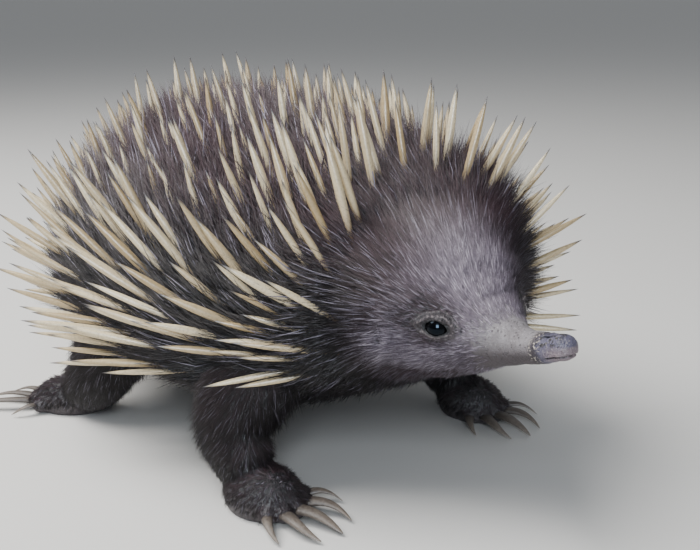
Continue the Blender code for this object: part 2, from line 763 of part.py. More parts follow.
def ground_mesh():
    """A block under the level that the soles rest on."""
    shape = bmesh.new()
    half = GROUND_HALF_SIZE * MM
    place = Matrix.Translation((0.0, 0.0, -half)) @ Matrix.Scale(half, 4)
    bmesh.ops.create_cube(shape, size=2.0, matrix=place)
    mesh = bpy.data.meshes.new("ground")
    shape.to_mesh(mesh)
    shape.free()
    return mesh


def foot_object(name, foot, sign, collection, grow=0.0):
    """The pad and toes joined into one object."""
    pad, toes = foot_meshes(foot, sign, grow)
    made = add_object(name, pad, BARE_SKIN, collection)
    own = helpers("toes")
    for toe in toes:
        add_object("toe", toe, BARE_SKIN, own)
    boolean(made, own, "UNION")
    return made


def claw_mesh(length, half_width, place, curl):
    """A flattened, tapering claw along X that arches and comes down to just above the ground."""
    turns = np.arange(CLAW_SIDES) * 2 * math.pi / CLAW_SIDES
    rings = []
    for i in range(CLAW_RINGS):
        share = i / CLAW_RINGS
        bend = math.radians(curl) * share * share
        fall = (CLAW_HEIGHT - CLAW_TIP_HEIGHT) * share**CLAW_FALL_POWER
        rise = CLAW_HEIGHT + CLAW_ARCH * math.sin(math.pi * share) - fall
        middle = Vector((length * share, length * math.tan(bend) * share, rise))
        wide = half_width * (1 - share) ** CLAW_TAPER_POWER
        ring = [Vector((0.0, math.cos(a) * wide, math.sin(a) * wide * CLAW_FLATNESS)) for a in turns]
        rings.append([place @ (middle + offset) for offset in ring])
    tip = Vector((length, length * math.tan(math.radians(curl)), CLAW_TIP_HEIGHT))
    return loft_mesh("claw", rings, tip=place @ tip)


def make_feet_and_claws(parts, cutters):
    """Each foot with its flat sole, and the five claws seated on its toes."""
    for foot in (FOREFOOT, HINDFOOT):
        for side, sign in (("left", 1), ("right", -1)):
            made = foot_object(f"{foot.name}_{side}", foot, sign, parts)
            boolean(made, add_object("ground", ground_mesh(), BARE_SKIN, cutters), "DIFFERENCE")
            for i, (toe, (x, y, heading)) in enumerate(zip(foot.toes, toe_places(foot, sign)), 1):
                start = turn_matrix(x, y, 0.0, heading) @ Matrix.Translation((CLAW_INSET, 0.0, 0.0))
                curl = -sign * CLAW_CURL * max(-1.0, min(1.0, toe.turn / CLAW_CURL_FULL_TURN))
                length = toe.claw_length + TOE_HALF_SIZES[0] - CLAW_INSET
                mesh = claw_mesh(length, toe.claw_half_width, start, curl)
                claw = add_object(f"{foot.name}_{side}_claw_{i}", mesh, HORN, parts)
                cutter = foot_object("foot_cut", foot, sign, cutters, GAP)
                boolean(claw, cutter, "DIFFERENCE")


def make_legs(parts, cutters):
    """Each leg, cut to the body above it and to the foot below it."""
    for name, points, foot in (("foreleg", FORELEG, FOREFOOT), ("hindleg", HINDLEG, HINDFOOT)):
        for side, sign in (("left", 1), ("right", -1)):
            leg = add_object(f"{name}_{side}", leg_mesh(name, points, sign), COAT, parts)
            boolean(leg, add_object("torso_cut", torso_mesh(GAP), COAT, cutters), "DIFFERENCE")
            boolean(leg, foot_object("foot_cut", foot, sign, cutters, GAP), "DIFFERENCE")


def make_body(parts, cutters):
    """Torso, neck and tail with their spines."""
    torso = add_object("torso", torso_mesh(), SPINY_COAT, parts)
    neck_range = (TORSO_NECK_CUT + GAP / 2, NECK_HEAD_CUT - GAP / 2)
    neck_mesh = body_loft("neck", *neck_range, NECK_STEP, BODY_SIDES)
    neck = add_object("neck", neck_mesh, SPINY_COAT, parts)
    tail = add_object("tail", tail_mesh(), SPINY_COAT, parts)
    boolean(tail, add_object("torso_cut", torso_mesh(GAP), COAT, cutters), "DIFFERENCE")
    rng = np.random.default_rng(SEED)
    spines = clear_spines(body_spines(rng) + tail_spines(rng))
    for node in (torso, neck, tail):
        grow_spines(node, spines)


def shade_smooth(parts):
    """Shades every part smooth, but for its sharp edges."""
    for part in parts.objects:
        part.data.shade_smooth()
        part.data.set_sharp_from_angle(angle=math.radians(SHARP_ANGLE))


def centre_on_ground(parts):
    """Moves every part so that the middle of the whole lies over the origin."""
    corners = np.array([v.co for part in parts.objects for v in part.data.vertices])
    middle = (corners.min(axis=0) + corners.max(axis=0)) / 2
    for part in parts.objects:
        part.data.transform(Matrix.Translation((-middle[0], -middle[1], 0.0)))


def main():
    """Builds the animal in an empty scene."""
    for leftover in list(bpy.data.objects):
        bpy.data.objects.remove(leftover)
    parts = helpers("echidna")
    cutters = helpers(CUTTERS)
    make_body(parts, cutters)
    make_head(parts, cutters)
    make_beak(parts, cutters)
    make_eyes(parts)
    make_ears(parts, cutters)
    make_legs(parts, cutters)
    make_feet_and_claws(parts, cutters)
    shade_smooth(parts)
    centre_on_ground(parts)


main()
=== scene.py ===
"""The looks of a short-beaked echidna: one skin, eyes, claws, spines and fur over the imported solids.

Sizes are in millimetres in the animal's own frame: +X forward, +Y its left, +Z up, soles at zero.
Meshes are turned to metres and moved to the frame's place when they are made.
"""

import logging
import math
from dataclasses import dataclass
from enum import Enum

import bmesh
import bpy
import numpy as np
from bpy.types import Material, Mesh, Node, NodeSocket, NodeTree, Object
from mathutils import Matrix, Vector, noise


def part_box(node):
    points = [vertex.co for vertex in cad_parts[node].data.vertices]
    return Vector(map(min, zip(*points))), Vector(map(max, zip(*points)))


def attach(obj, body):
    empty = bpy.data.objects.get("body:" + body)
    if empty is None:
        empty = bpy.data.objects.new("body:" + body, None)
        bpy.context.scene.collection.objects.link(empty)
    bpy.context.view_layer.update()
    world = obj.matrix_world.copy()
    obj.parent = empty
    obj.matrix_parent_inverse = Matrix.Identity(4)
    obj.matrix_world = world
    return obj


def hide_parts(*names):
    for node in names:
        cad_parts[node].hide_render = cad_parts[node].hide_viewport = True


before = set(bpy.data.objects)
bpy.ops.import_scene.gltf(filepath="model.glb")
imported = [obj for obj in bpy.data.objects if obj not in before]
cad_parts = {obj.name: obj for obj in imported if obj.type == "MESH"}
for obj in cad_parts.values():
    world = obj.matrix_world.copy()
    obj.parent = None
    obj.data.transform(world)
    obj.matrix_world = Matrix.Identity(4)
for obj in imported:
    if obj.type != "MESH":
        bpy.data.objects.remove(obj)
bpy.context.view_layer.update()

MM = 0.001
SEED = 23
BODY = "root"
UV_NAME = "OFBake"
PATCH_SIZE = 0.003
PIECE_TRIANGLES = 190_000
LEFTWARD = (0.0, 1.0, 0.0)

Array = np.ndarray
Faces = list[Array]
Pair = tuple[float, float]
Triple = tuple[float, float, float]
log = logging.getLogger("echidna")


class Side(Enum):
    """A side of the animal, as the sign of its Y."""

    LEFT = 1
    RIGHT = -1


def slopes(xs: Array, ys: Array) -> Array:
    """Tangents that keep a curve through the points from overshooting.

    Args:
        xs: Rising places of the points.
        ys: Their values.

    Returns:
        One slope for each point.
    """
    steps = np.diff(xs)
    rises = np.diff(ys) / steps
    found = np.zeros_like(ys)
    found[0], found[-1] = rises[0], rises[-1]
    for i in range(1, len(xs) - 1):
        before, after = rises[i - 1], rises[i]
        if before * after > 0:
            weight_before = 2 * steps[i] + steps[i - 1]
            weight_after = steps[i] + 2 * steps[i - 1]
            found[i] = (weight_before + weight_after) / (weight_before / before + weight_after / after)
    return found


def eased(xs: Array, ys: Array, x: Array) -> Array:
    """The smooth curve through the points, held at its end values past them.

    Args:
        xs: Rising places of the points.
        ys: Their values.
        x: Where the curve is read.

    Returns:
        The curve's values at x.
    """
    x = np.clip(x, xs[0], xs[-1])
    i = np.clip(np.searchsorted(xs, x, side="right") - 1, 0, len(xs) - 2)
    step = xs[i + 1] - xs[i]
    t = (x - xs[i]) / step
    slope = slopes(xs, ys)
    return (
        (1 + 2 * t) * (1 - t) ** 2 * ys[i]
        + t * (1 - t) ** 2 * step * slope[i]
        + t * t * (3 - 2 * t) * ys[i + 1]
        - t * t * (1 - t) * step * slope[i + 1]
    )


def share(low: float, high: float, value: Array) -> Array:
    """0 at low, 1 at high, which may lie below low, and a smooth change between."""
    t = np.clip((value - low) / (high - low), 0, 1)
    return t * t * (3 - 2 * t)


def blend(first: Array, second: Array, amount: Array) -> Array:
    """A value that goes from the first to the second as the amount goes from 0 to 1."""
    return first + (second - first) * amount


def unit(vectors: Array) -> Array:
    """The vectors made one long."""
    return vectors / np.maximum(np.linalg.norm(vectors, axis=-1, keepdims=True), 1e-9)


def dots(first: Array, second: Array) -> Array:
    """The dot product of each pair of vectors."""
    return (first * second).sum(axis=-1)


def turns_round(count: int) -> Array:
    """Evenly spaced angles round a circle."""
    return np.arange(count) * math.tau / count


def reach_of(ahead: Array, aside: Array, half_sizes: Pair) -> Array:
    """A distance as a share of the half sizes ahead and aside."""
    return np.hypot(ahead / half_sizes[0], aside / half_sizes[1])


@dataclass(frozen=True)
class Station:
    """One cross-section of the body: its middle, and how far the skin lies from it."""

    along: float
    side: float
    height: float
    half_width: float
    above: float
    below: float


@dataclass(frozen=True)
class BodyForm:
    """The skin's form from rump to beak tip, as smooth curves through its cross-sections."""

    stations: tuple[Station, ...] = (
        Station(-66.0, 0.0, 75.5, 66.0, 53.5, 50.5),
        Station(-50.0, 0.0, 76.5, 73.0, 59.0, 55.5),
        Station(-20.0, 0.0, 78.0, 80.0, 64.0, 59.5),
        Station(20.0, 0.0, 79.0, 80.0, 64.0, 59.5),
        Station(55.0, -0.3, 82.5, 73.5, 57.0, 54.0),
        Station(84.0, -1.6, 86.0, 61.5, 47.5, 45.0),
        Station(104.0, -3.8, 88.0, 51.0, 40.0, 40.5),
        Station(121.0, -6.2, 87.0, 42.0, 34.5, 35.0),
        Station(135.0, -8.7, 84.0, 32.0, 27.0, 27.0),
        Station(147.0, -11.0, 81.5, 23.0, 21.0, 18.7),
        Station(158.0, -13.3, 81.5, 15.0, 13.5, 12.7),
        Station(167.0, -15.4, 81.9, 10.0, 9.0, 8.8),
        Station(177.5, -17.9, 83.6, 7.2, 6.4, 6.3),
        Station(187.0, -20.3, 86.3, 6.2, 5.6, 5.5),
        Station(194.5, -22.2, 89.0, 5.4, 4.8, 4.7),
    )
    rump_rounding: float = 36.0
    tip_rounding: float = 4.4
    fullness: float = 2.2
    slope_reach: float = 9.0
    along_step: float = 0.5
    turn_step: float = 0.02
    locating_steps: int = 160

    def column(self, name: str) -> Array:
        """One column of the cross-sections."""
        return np.array([getattr(station, name) for station in self.stations])

    def axes(self, along: Array) -> tuple[Array, Array, Array, Array]:
        """The middle of each cross-section and its directions.

        Args:
            along: Places along the body.

        Returns:
            The middles, and unit vectors forward, to the left and up.
        """
        places, sides, heights = self.column("along"), self.column("side"), self.column("height")
        inside = np.clip(along, places[0], places[-1])
        back = np.maximum(inside - self.slope_reach, places[0])
        front = np.minimum(inside + self.slope_reach, places[-1])
        side_slope = (eased(places, sides, front) - eased(places, sides, back)) / (front - back)
        height_slope = (eased(places, heights, front) - eased(places, heights, back)) / (front - back)
        forward = unit(np.stack([np.ones_like(inside), side_slope, height_slope], axis=-1))
        left = unit(np.stack([-side_slope, np.ones_like(inside), np.zeros_like(inside)], axis=-1))
        middle = np.stack([inside, eased(places, sides, inside), eased(places, heights, inside)], axis=-1)
        return middle + forward * (along - inside)[..., None], forward, left, np.cross(forward, left)

    def points(self, along: Array, angle: Array) -> Array:
        """Points of the skin.

        Args:
            along: Places along the body.
            angle: Angles from the top towards the left.

        Returns:
            The points.
        """
        along, angle = np.broadcast_arrays(np.asarray(along, float), np.asarray(angle, float))
        places = self.column("along")
        middle, _, left, up = self.axes(along)
        inside = np.clip(along, places[0], places[-1])
        behind = (places[0] - along) / self.rump_rounding
        ahead = (along - places[-1]) / self.tip_rounding
        rounding = np.sqrt(np.clip(1 - np.clip(np.maximum(behind, ahead), 0, 1) ** 2, 0, 1))
        cosine, sine = np.cos(angle), np.sin(angle)
        above, below = (eased(places, self.column(name), inside) for name in ("above", "below"))
        rise = np.where(cosine > 0, above, below) * rounding
        across = eased(places, self.column("half_width"), inside) * rounding
        power = 2 / self.fullness
        to_left = (np.sign(sine) * np.abs(sine) ** power * across)[..., None]
        to_top = (np.sign(cosine) * np.abs(cosine) ** power * rise)[..., None]
        return middle + left * to_left + up * to_top

    def frames(self, along: Array, angle: Array) -> tuple[Array, Array, Array]:
        """Where the skin lies, its outward normal, and its direction towards the beak.

        Args:
            along: Places along the body.
            angle: Angles from the top towards the left.

        Returns:
            The points, normals and forward directions.
        """
        forward = self.points(along + self.along_step, angle) - self.points(along - self.along_step, angle)
        around = self.points(along, angle + self.turn_step) - self.points(along, angle - self.turn_step)
        return self.points(along, angle), unit(np.cross(forward, around)), unit(forward)

    def locate(self, points: Array) -> tuple[Array, Array]:
        """The place along the body and the angle of each point.

        Args:
            points: Points near the skin.

        Returns:
            Places along the body, and angles from the top towards the left.
        """
        first, last = self.stations[0].along - self.rump_rounding, self.stations[-1].along + self.tip_rounding
        grid = np.linspace(first, last, self.locating_steps)
        middles, forwards, _, _ = self.axes(grid)
        passed = np.zeros(len(points), int)
        for middle, forward in zip(middles, forwards):
            passed += (points - middle) @ forward > 0
        lower = np.clip(passed - 1, 0, len(grid) - 2)
        beyond = dots(points - middles[lower], forwards[lower])
        short = -dots(points - middles[lower + 1], forwards[lower + 1])
        along = grid[lower] + (grid[1] - grid[0]) * np.clip(beyond / np.maximum(beyond + short, 1e-6), 0, 1)
        middle, _, left, up = self.axes(along)
        return along, np.arctan2(dots(points - middle, left), dots(points - middle, up))


FORM = BodyForm()


@dataclass(frozen=True)
class LegPoint:
    """A place along a left leg: its middle and the half sizes across and fore-and-aft."""

    x: float
    y: float
    z: float
    across: float
    fore_and_aft: float


@dataclass(frozen=True)
class Toe:
    """One toe: how far it turns from the foot's own line, and its claw's length and half width."""

    turn: float
    claw_length: float
    claw_half_width: float


@dataclass(frozen=True)
class Foot:
    """A left foot, flat on the ground, and its five toes from the inner one outwards."""

    name: str
    x: float
    y: float
    half_sizes: Triple
    heading: float
    toes: tuple[Toe, ...]
    centre_height: float = 5.5
    toe_half_sizes: Triple = (6.5, 3.9, 4.3)
    toe_height: float = 4.3
    toe_reach: float = 0.9

    def toe_places(self, side: Side) -> list[Triple]:
        """The middle of each toe and the way that it points.

        Args:
            side: The animal's side.

        Returns:
            X, Y and the heading in degrees, for each toe.
        """
        places = []
        for toe in self.toes:
            turn = math.radians(toe.turn)
            reach = Vector((self.half_sizes[0] * math.cos(turn), self.half_sizes[1] * math.sin(turn), 0.0))
            middle = turned_place(self.x, self.y, 0.0, self.heading) @ (reach * self.toe_reach)
            places.append((middle.x, middle.y * side.value, (self.heading + toe.turn) * side.value))
        return places


def turned_place(x: float, y: float, z: float, heading: float) -> Matrix:
    """A place whose X axis points along the heading, in degrees from straight ahead to the left."""
    return Matrix.Translation((x, y, z)) @ Matrix.Rotation(math.radians(heading), 4, "Z")


FORELEG = (
    LegPoint(57.0, 42.0, 57.0, 20.0, 22.0),
    LegPoint(57.0, 59.0, 43.0, 17.5, 21.0),
    LegPoint(59.0, 69.0, 28.5, 13.5, 16.5),
    LegPoint(69.0, 71.0, 16.0, 12.0, 13.5),
    LegPoint(77.0, 71.0, 10.0, 8.0, 8.0),
)
HINDLEG = (
    LegPoint(-46.0, 42.0, 55.0, 22.0, 26.0),
    LegPoint(-45.0, 59.0, 42.0, 18.5, 24.0),
    LegPoint(-47.0, 69.0, 27.5, 14.0, 18.5),
    LegPoint(-59.0, 72.0, 15.0, 12.0, 13.5),
    LegPoint(-68.0, 73.0, 10.0, 8.0, 8.0),
)
FOREFOOT = Foot(
    name="forefoot",
    x=81.0,
    y=71.0,
    half_sizes=(18.5, 15.5, 12.5),
    heading=-8.0,
    toes=(
        Toe(-48.0, 12.0, 2.6),
        Toe(-24.0, 18.0, 3.5),
        Toe(0.0, 20.0, 3.8),
        Toe(24.0, 18.0, 3.5),
        Toe(48.0, 13.0, 2.6),
    ),
)
HINDFOOT = Foot(
    name="hindfoot",
    x=-72.0,
    y=74.0,
    half_sizes=(19.5, 13.5, 11.5),
    heading=144.0,
    toes=(
        Toe(-48.0, 10.0, 2.1),
        Toe(-20.0, 33.0, 2.9),
        Toe(2.0, 25.0, 2.7),
        Toe(23.0, 17.0, 2.3),
        Toe(45.0, 13.0, 2.1),
    ),
)
LIMBS = ((FORELEG, FOREFOOT), (HINDLEG, HINDFOOT))


def leg_sections(leg: tuple[LegPoint, ...], side: Side, count: int) -> Array:
    """Evenly spaced sections of a leg, from inside the body down into the foot.

    Args:
        leg: The left leg's points.
        side: The animal's side.
        count: How many sections.

    Returns:
        Rows of x, y, z and the half sizes across and fore-and-aft.
    """
    table = np.array([(p.x, p.y * side.value, p.z, p.across, p.fore_and_aft) for p in leg])
    knots = np.arange(len(table), dtype=float)
    places = np.linspace(0, len(table) - 1, count)
    return np.stack([eased(knots, column, places) for column in table.T], axis=1)


@dataclass(frozen=True)
class Tail:
    """The short tail as a tapering stub."""

    root: Triple = (-80.0, 0.0, 51.0)
    tip: Triple = (-128.0, 0.0, 37.0)
    root_radius: float = 15.0
    tip_radius: float = 3.0

    def middle(self, shares: Array) -> Array:
        """Points of the tail's axis, from its root at 0 to its tip at 1."""
        return np.outer(1 - shares, self.root) + np.outer(shares, self.tip)

    def radius(self, shares: Array) -> Array:
        """The tail's radius at each share of its length."""
        return self.tip_radius + (self.root_radius - self.tip_radius) * np.sqrt(np.clip(1 - shares, 0, 1))


TAIL = Tail()


@dataclass(frozen=True)
class Eye:
    """A round eye and the lids around its opening, on one side of the head."""

    side: Side
    along: float = 147.0
    angle: float = 78.0
    radius: float = 5.0
    depth: float = 2.7
    half_length: float = 4.7
    upper_half_height: float = 3.0
    lower_half_height: float = 2.5
    squareness: float = 1.8
    edge: float = 1.06
    upper_band: float = 1.45
    lower_band: float = 0.8
    fold_period: float = 0.6
    fold_height: float = 0.42
    wander: tuple[tuple[float, int, float], ...] = ((0.13, 3, 0.6), (0.06, 7, 2.0), (0.02, 17, 1.0))
    crease_at: float = 1.3
    crease_width: float = 0.13
    crease_depth: float = 0.6
    rim_height: float = 0.7
    swell_height: float = 0.8
    socket_depth: float = 5.0
    plane_margin: float = 4.0

    def axes(self) -> tuple[Array, Array, Array, Array]:
        """The eye's place on the head.

        Returns:
            The place on the skin over the eye, the outward normal, and directions forward and up.
        """
        here, normal, forward = FORM.frames(self.along, self.side.value * math.radians(self.angle))
        up = np.cross(forward, normal) * self.side.value
        return here, normal, forward, up if up[2] > 0 else -up

    def centre(self) -> Array:
        """The middle of the eyeball."""
        here, normal, _, _ = self.axes()
        return here - normal * self.depth

    def opening(self, points: Array) -> tuple[Array, Array, Array]:
        """How far points lie from the middle of the opening, as shares of its half sizes.

        Args:
            points: Points on the skin.

        Returns:
            The share, 1 on the lids' edge, the places forward and up in millimetres.
        """
        here, normal, forward, up = self.axes()
        ahead, over = (points - here) @ forward, (points - here) @ up
        half_height = np.where(over > 0, self.upper_half_height, self.lower_half_height)
        power = self.squareness
        aside, upward = np.abs(ahead / self.half_length), np.abs(over / half_height)
        reach = (aside**power + upward**power) ** (1 / power)
        beyond = np.maximum(np.abs((points - here) @ normal) - self.plane_margin, 0.0)
        return reach + beyond, ahead, over

    def folds(self, points: Array) -> tuple[Array, Array, Array, Array]:
        """The lids' folds, which run round the opening and are broadest over the eye.

        Args:
            points: Points on the skin.

        Returns:
            The waves of the folds from -1 to 1, how far each point belongs to a lid, the distance from
            the lid's edge as a share of the opening, and the deep crease over the upper lid.
        """
        reach, ahead, over = self.opening(points)
        away = np.maximum(reach - self.edge, 0)
        turn = np.arctan2(over / self.upper_half_height, ahead / self.half_length)
        band = blend(self.lower_band, self.upper_band, share(-0.5, 0.7, np.sin(turn)))
        shifted = away + sum(height * np.sin(count * turn + start) for height, count, start in self.wander)
        waves = np.cos(shifted * math.tau / self.fold_period) * (0.7 + 0.3 * np.sin(9 * turn + away * 6))
        crease = np.exp(-(((shifted - self.crease_at) / self.crease_width) ** 2)) * share(-0.8, 1.2, over)
        return waves, share(1.2, 0.6, shifted / band) * (reach > 0.5), away, crease

    def relief(self, points: Array) -> Array:
        """How far lids, their folds and the socket stand out of the plain skin.

        Args:
            points: Points on the plain skin.

        Returns:
            Heights in millimetres, below zero inside the socket.
        """
        reach, ahead, over = self.opening(points)
        inner = np.minimum(self.edge / np.maximum(reach, self.edge), 1.0)
        edge = np.hypot(ahead * inner, over * inner)
        ball = np.sqrt(np.clip(self.radius**2 - edge**2, 0.5, None)) - self.depth
        waves, lid, away, crease = self.folds(points)
        rim = np.maximum(ball, -0.1) + self.rim_height
        swell = self.swell_height * share(0.0, 0.35, away) * lid * share(-1.0, 1.5, over)
        height = rim * share(1.3, 0.0, away) + swell + self.fold_height * waves * lid * share(0.04, 0.2, away)
        height = height - self.crease_depth * crease
        return blend(height, np.full_like(height, -self.socket_depth), share(0.97, 0.82, reach))

    def bare_share(self, points: Array) -> Array:
        """1 on the bare lids, fading to 0 where the short hair of the face begins."""
        return self.folds(points)[1]

    def shadow(self, points: Array) -> Array:
        """Painted shade: how dark the skin is in the folds, in the crease over the upper lid and in a ring
        along the lids' edge.

        Args:
            points: Points on the skin.

        Returns:
            Shares from 0 to 1.
        """
        waves, lid, away, crease = self.folds(points)
        valleys = share(0.1, -0.9, waves) * lid * share(0.05, 0.2, away) * 0.6
        # Painted shade in a thin ring along the lids' edge at the opening.
        wet = share(self.edge + 0.28, self.edge + 0.04, self.opening(points)[0])
        return np.maximum(np.maximum(valleys, crease * 0.75), wet)

    def painted_ridge_light(self, points: Array) -> Array:
        """Painted highlight: how far the skin is on a fold's ridge or on the lower lid's pale rim.

        Args:
            points: Points on the skin.

        Returns:
            Shares from 0 to 1.
        """
        waves, lid, away, _ = self.folds(points)
        over = self.opening(points)[2]
        rim = share(0.6, 0.3, away) * share(-0.4, -1.6, over)
        roll = share(0.3, 0.6, away) * share(0.0, 1.6, over)
        corners = blend(0.25, 1.0, share(0.6, 2.4, np.abs(over)))
        return np.maximum(share(-0.3, 0.8, waves) * lid * blend(0.35, 1.0, roll), rim * lid * 0.9) * corners


EYES = (Eye(Side.LEFT), Eye(Side.RIGHT))


@dataclass(frozen=True)
class Beak:
    """The bare beak's nostrils and the line of its mouth."""

    bare_from: float = 143.0
    bare_to: float = 158.0
    hair_from: float = 152.0
    hair_to: float = 171.0
    hair_on_top: float = 6.0
    nostril_along: float = 190.0
    nostril_angle: float = 30.0
    nostril_half_length: float = 2.3
    nostril_half_width: float = 0.85
    nostril_depth: float = 1.3
    nostril_rim: float = 0.28
    mouth_length: float = 11.0
    mouth_height: float = -2.9
    mouth_half_height: float = 0.34
    mouth_depth: float = 0.7
    lip_height: float = 0.2
    tip: float = 198.9

    def relief(self, points: Array, along: Array) -> Array:
        """How far nostrils and mouth stand out of the plain skin.

        Args:
            points: Points on the plain skin.
            along: Their places along the body.

        Returns:
            Heights in millimetres, below zero inside.
        """
        reach = self.nostril_reach(points)
        pit = (self.nostril_depth + self.nostril_rim) * share(1.15, 0.55, reach)
        height = self.nostril_rim * share(2.2, 1.2, reach) - pit
        groove, lip = self.mouth(points, along)
        return height + lip * self.lip_height - groove * (self.mouth_depth + self.lip_height)

    def nostril_reach(self, points: Array) -> Array:
        """The distance from the nearer nostril's middle.

        Args:
            points: Points on the skin.

        Returns:
            Shares of the nostril's half sizes.
        """
        found = np.full(len(points), 99.0)
        for side in Side:
            place, _, forward = FORM.frames(self.nostril_along, side.value * math.radians(self.nostril_angle))
            away = points - place
            ahead = away @ forward
            aside = np.linalg.norm(away - np.outer(ahead, forward), axis=1)
            half_sizes = (self.nostril_half_length, self.nostril_half_width)
            found = np.minimum(found, reach_of(ahead, aside, half_sizes))
        return found

    def mouth(self, points: Array, along: Array) -> tuple[Array, Array]:
        """Where the line of the mouth and the lips beside it run.

        Args:
            points: Points on the skin.
            along: Their places along the body.

        Returns:
            Shares of the line and of the lips, from 0 to 1.
        """
        middle, _, _, up = FORM.axes(along)
        rise = np.abs(dots(points - middle, up) - self.mouth_height)
        inside = share(self.tip - self.mouth_length, self.tip - self.mouth_length + 3.0, along)
        return inside * share(self.mouth_half_height, 0.12, rise), inside * share(2.0, 0.7, rise)

    def shadow(self, points: Array, along: Array) -> Array:
        """How dark the skin is inside the nostrils and the mouth, from 0 to 1."""
        return np.maximum(share(1.25, 0.8, self.nostril_reach(points)), self.mouth(points, along)[0])


BEAK = Beak()


@dataclass(frozen=True)
class Ear:
    """The upright slit of the ear behind the cheek, with its low fleshy rim."""

    along: float = 131.0
    angle: float = 96.0
    half_length: float = 2.6
    half_height: float = 7.2
    rim_height: float = 0.5
    slit_depth: float = 3.0
    plane_margin: float = 5.0

    def relief(self, points: Array) -> Array:
        """How far the ears' rims stand out, and how deep their slits are.

        Args:
            points: Points on the plain skin.

        Returns:
            Heights in millimetres.
        """
        height = np.zeros(len(points))
        for side in Side:
            reach = self.reach(points, side)
            slit = (self.rim_height + self.slit_depth) * share(0.85, 0.35, reach)
            height += self.rim_height * share(1.8, 1.0, reach) - slit
        return height

    def reach(self, points: Array, side: Side) -> Array:
        """The distance from the middle of the slit, as a share of the rim's half sizes.

        Args:
            points: Points on the skin.
            side: The animal's side.

        Returns:
            The shares, 1 on the top of the rim.
        """
        here, normal, forward = FORM.frames(self.along, side.value * math.radians(self.angle))
        away = points - here
        upright = np.cross(normal, forward)
        reach = reach_of(away @ forward, away @ upright, (self.half_length, self.half_height))
        return reach + np.maximum(np.abs(away @ normal) - self.plane_margin, 0.0)


EAR = Ear()


@dataclass(frozen=True)
class Markings:
    """Where the coat is pale, and where the skin is bare. Skin and fur read the same values."""

    crown_from: float = 117.0
    crown_to: float = 142.0
    side_lag: float = 7.0
    band_angle: float = 24.0
    band_fade: float = 62.0
    side_share: float = 0.78
    patch_along: float = 139.0
    patch_angle: float = 104.0
    patch_half_sizes: Pair = (16.0, 24.0)
    patch_share: float = 1.0
    eye_half_sizes: Pair = (11.0, 30.0)
    eye_shift: Pair = (2.0, 6.0)
    eye_share: float = 0.85
    muzzle_from: float = 147.0
    muzzle_to: float = 160.0
    muzzle_share: float = 0.95
    throat_from: float = 118.0
    throat_to: float = 138.0

    def pale(self, along: Array, angle: Array) -> Array:
        """How pale the coat is, from 0 for the dark body to 1 for the grey forehead.

        Args:
            along: Places along the body.
            angle: Angles from the top towards the left.

        Returns:
            Shares from 0 to 1.
        """
        degrees = np.degrees(np.abs(angle))
        head = share(self.crown_from, self.crown_to, along - self.side_lag * share(20.0, 65.0, degrees))
        forehead = share(self.band_fade, self.band_angle, degrees) * head
        sides = head * share(self.throat_to, self.throat_from, degrees) * self.side_share
        reach = reach_of(along - self.patch_along, degrees - self.patch_angle, self.patch_half_sizes)
        cheek = share(1.2, 0.4, reach) * self.patch_share
        ahead = along - EYES[0].along + self.eye_shift[0]
        aside = degrees - EYES[0].angle + self.eye_shift[1]
        reach = reach_of(ahead, aside, self.eye_half_sizes)
        pale = np.maximum(np.maximum(forehead, sides), cheek) * (1 - share(1.2, 0.5, reach) * self.eye_share)
        return np.maximum(pale, share(self.muzzle_from, self.muzzle_to, along) * self.muzzle_share)

    def bare(self, points: Array, along: Array) -> Array:
        """How bare the skin is, from 0 to 1 on the beak and the lids."""
        return np.maximum(share(BEAK.bare_from, BEAK.bare_to, along), self.lids(points))

    def hairless(self, points: Array, along: Array) -> Array:
        """How far the fur has thinned out, 1 on the beak and the lids.

        Args:
            points: Points on the skin.
            along: Their places along the body.

        Returns:
            Shares from 0 to 1.
        """
        over = np.degrees(np.abs(FORM.locate(points)[1]))
        reach = along - BEAK.hair_on_top * share(95.0, 25.0, over)
        return np.maximum(share(BEAK.hair_from, BEAK.hair_to, reach), share(0.5, 0.95, self.lids(points)))

    def lids(self, points: Array) -> Array:
        """How far each point belongs to a lid, from 0 to 1."""
        return np.maximum(*(eye.bare_share(points) for eye in EYES))

    def shadow(self, points: Array, along: Array) -> Array:
        """How dark the skin is in its folds and openings, from 0 to 1."""
        eyes = np.maximum(*(eye.shadow(points) for eye in EYES))
        return np.maximum(eyes, BEAK.shadow(points, along))


MARKINGS = Markings()


class Value:
    """A shader's value socket that Python expressions turn into Math nodes."""

    def __init__(self, shading: "Shading", socket: NodeSocket) -> None:
        """Wraps one output socket."""
        self.shading = shading
        self.socket = socket

    def _with(self, operation: str, first: object, second: object) -> "Value":
        """The result of one Math node."""
        made = self.shading.node("ShaderNodeMath", {"operation": operation}, {0: first, 1: second})
        return Value(self.shading, made.outputs[0])

    def __add__(self, other: object) -> "Value":
        """This plus other."""
        return self._with("ADD", self, other)

    __radd__ = __add__

    def __mul__(self, other: object) -> "Value":
        """This times other."""
        return self._with("MULTIPLY", self, other)

    __rmul__ = __mul__

    def __sub__(self, other: object) -> "Value":
        """This minus other."""
        return self._with("SUBTRACT", self, other)

    def __rsub__(self, other: object) -> "Value":
        """Other minus this."""
        return self._with("SUBTRACT", other, self)

    def stepped(self, low: float, high: float) -> "Value":
        """0 at low and 1 at high, with a smooth change between.

        Args:
            low: The value that gives 0.
            high: The value that gives 1.

        Returns:
            The share.
        """
        settings = {"interpolation_type": "SMOOTHSTEP"}
        made = self.shading.node("ShaderNodeMapRange", settings, {0: self, 1: low, 2: high, 3: 0.0, 4: 1.0})
        return Value(self.shading, made.outputs[0])


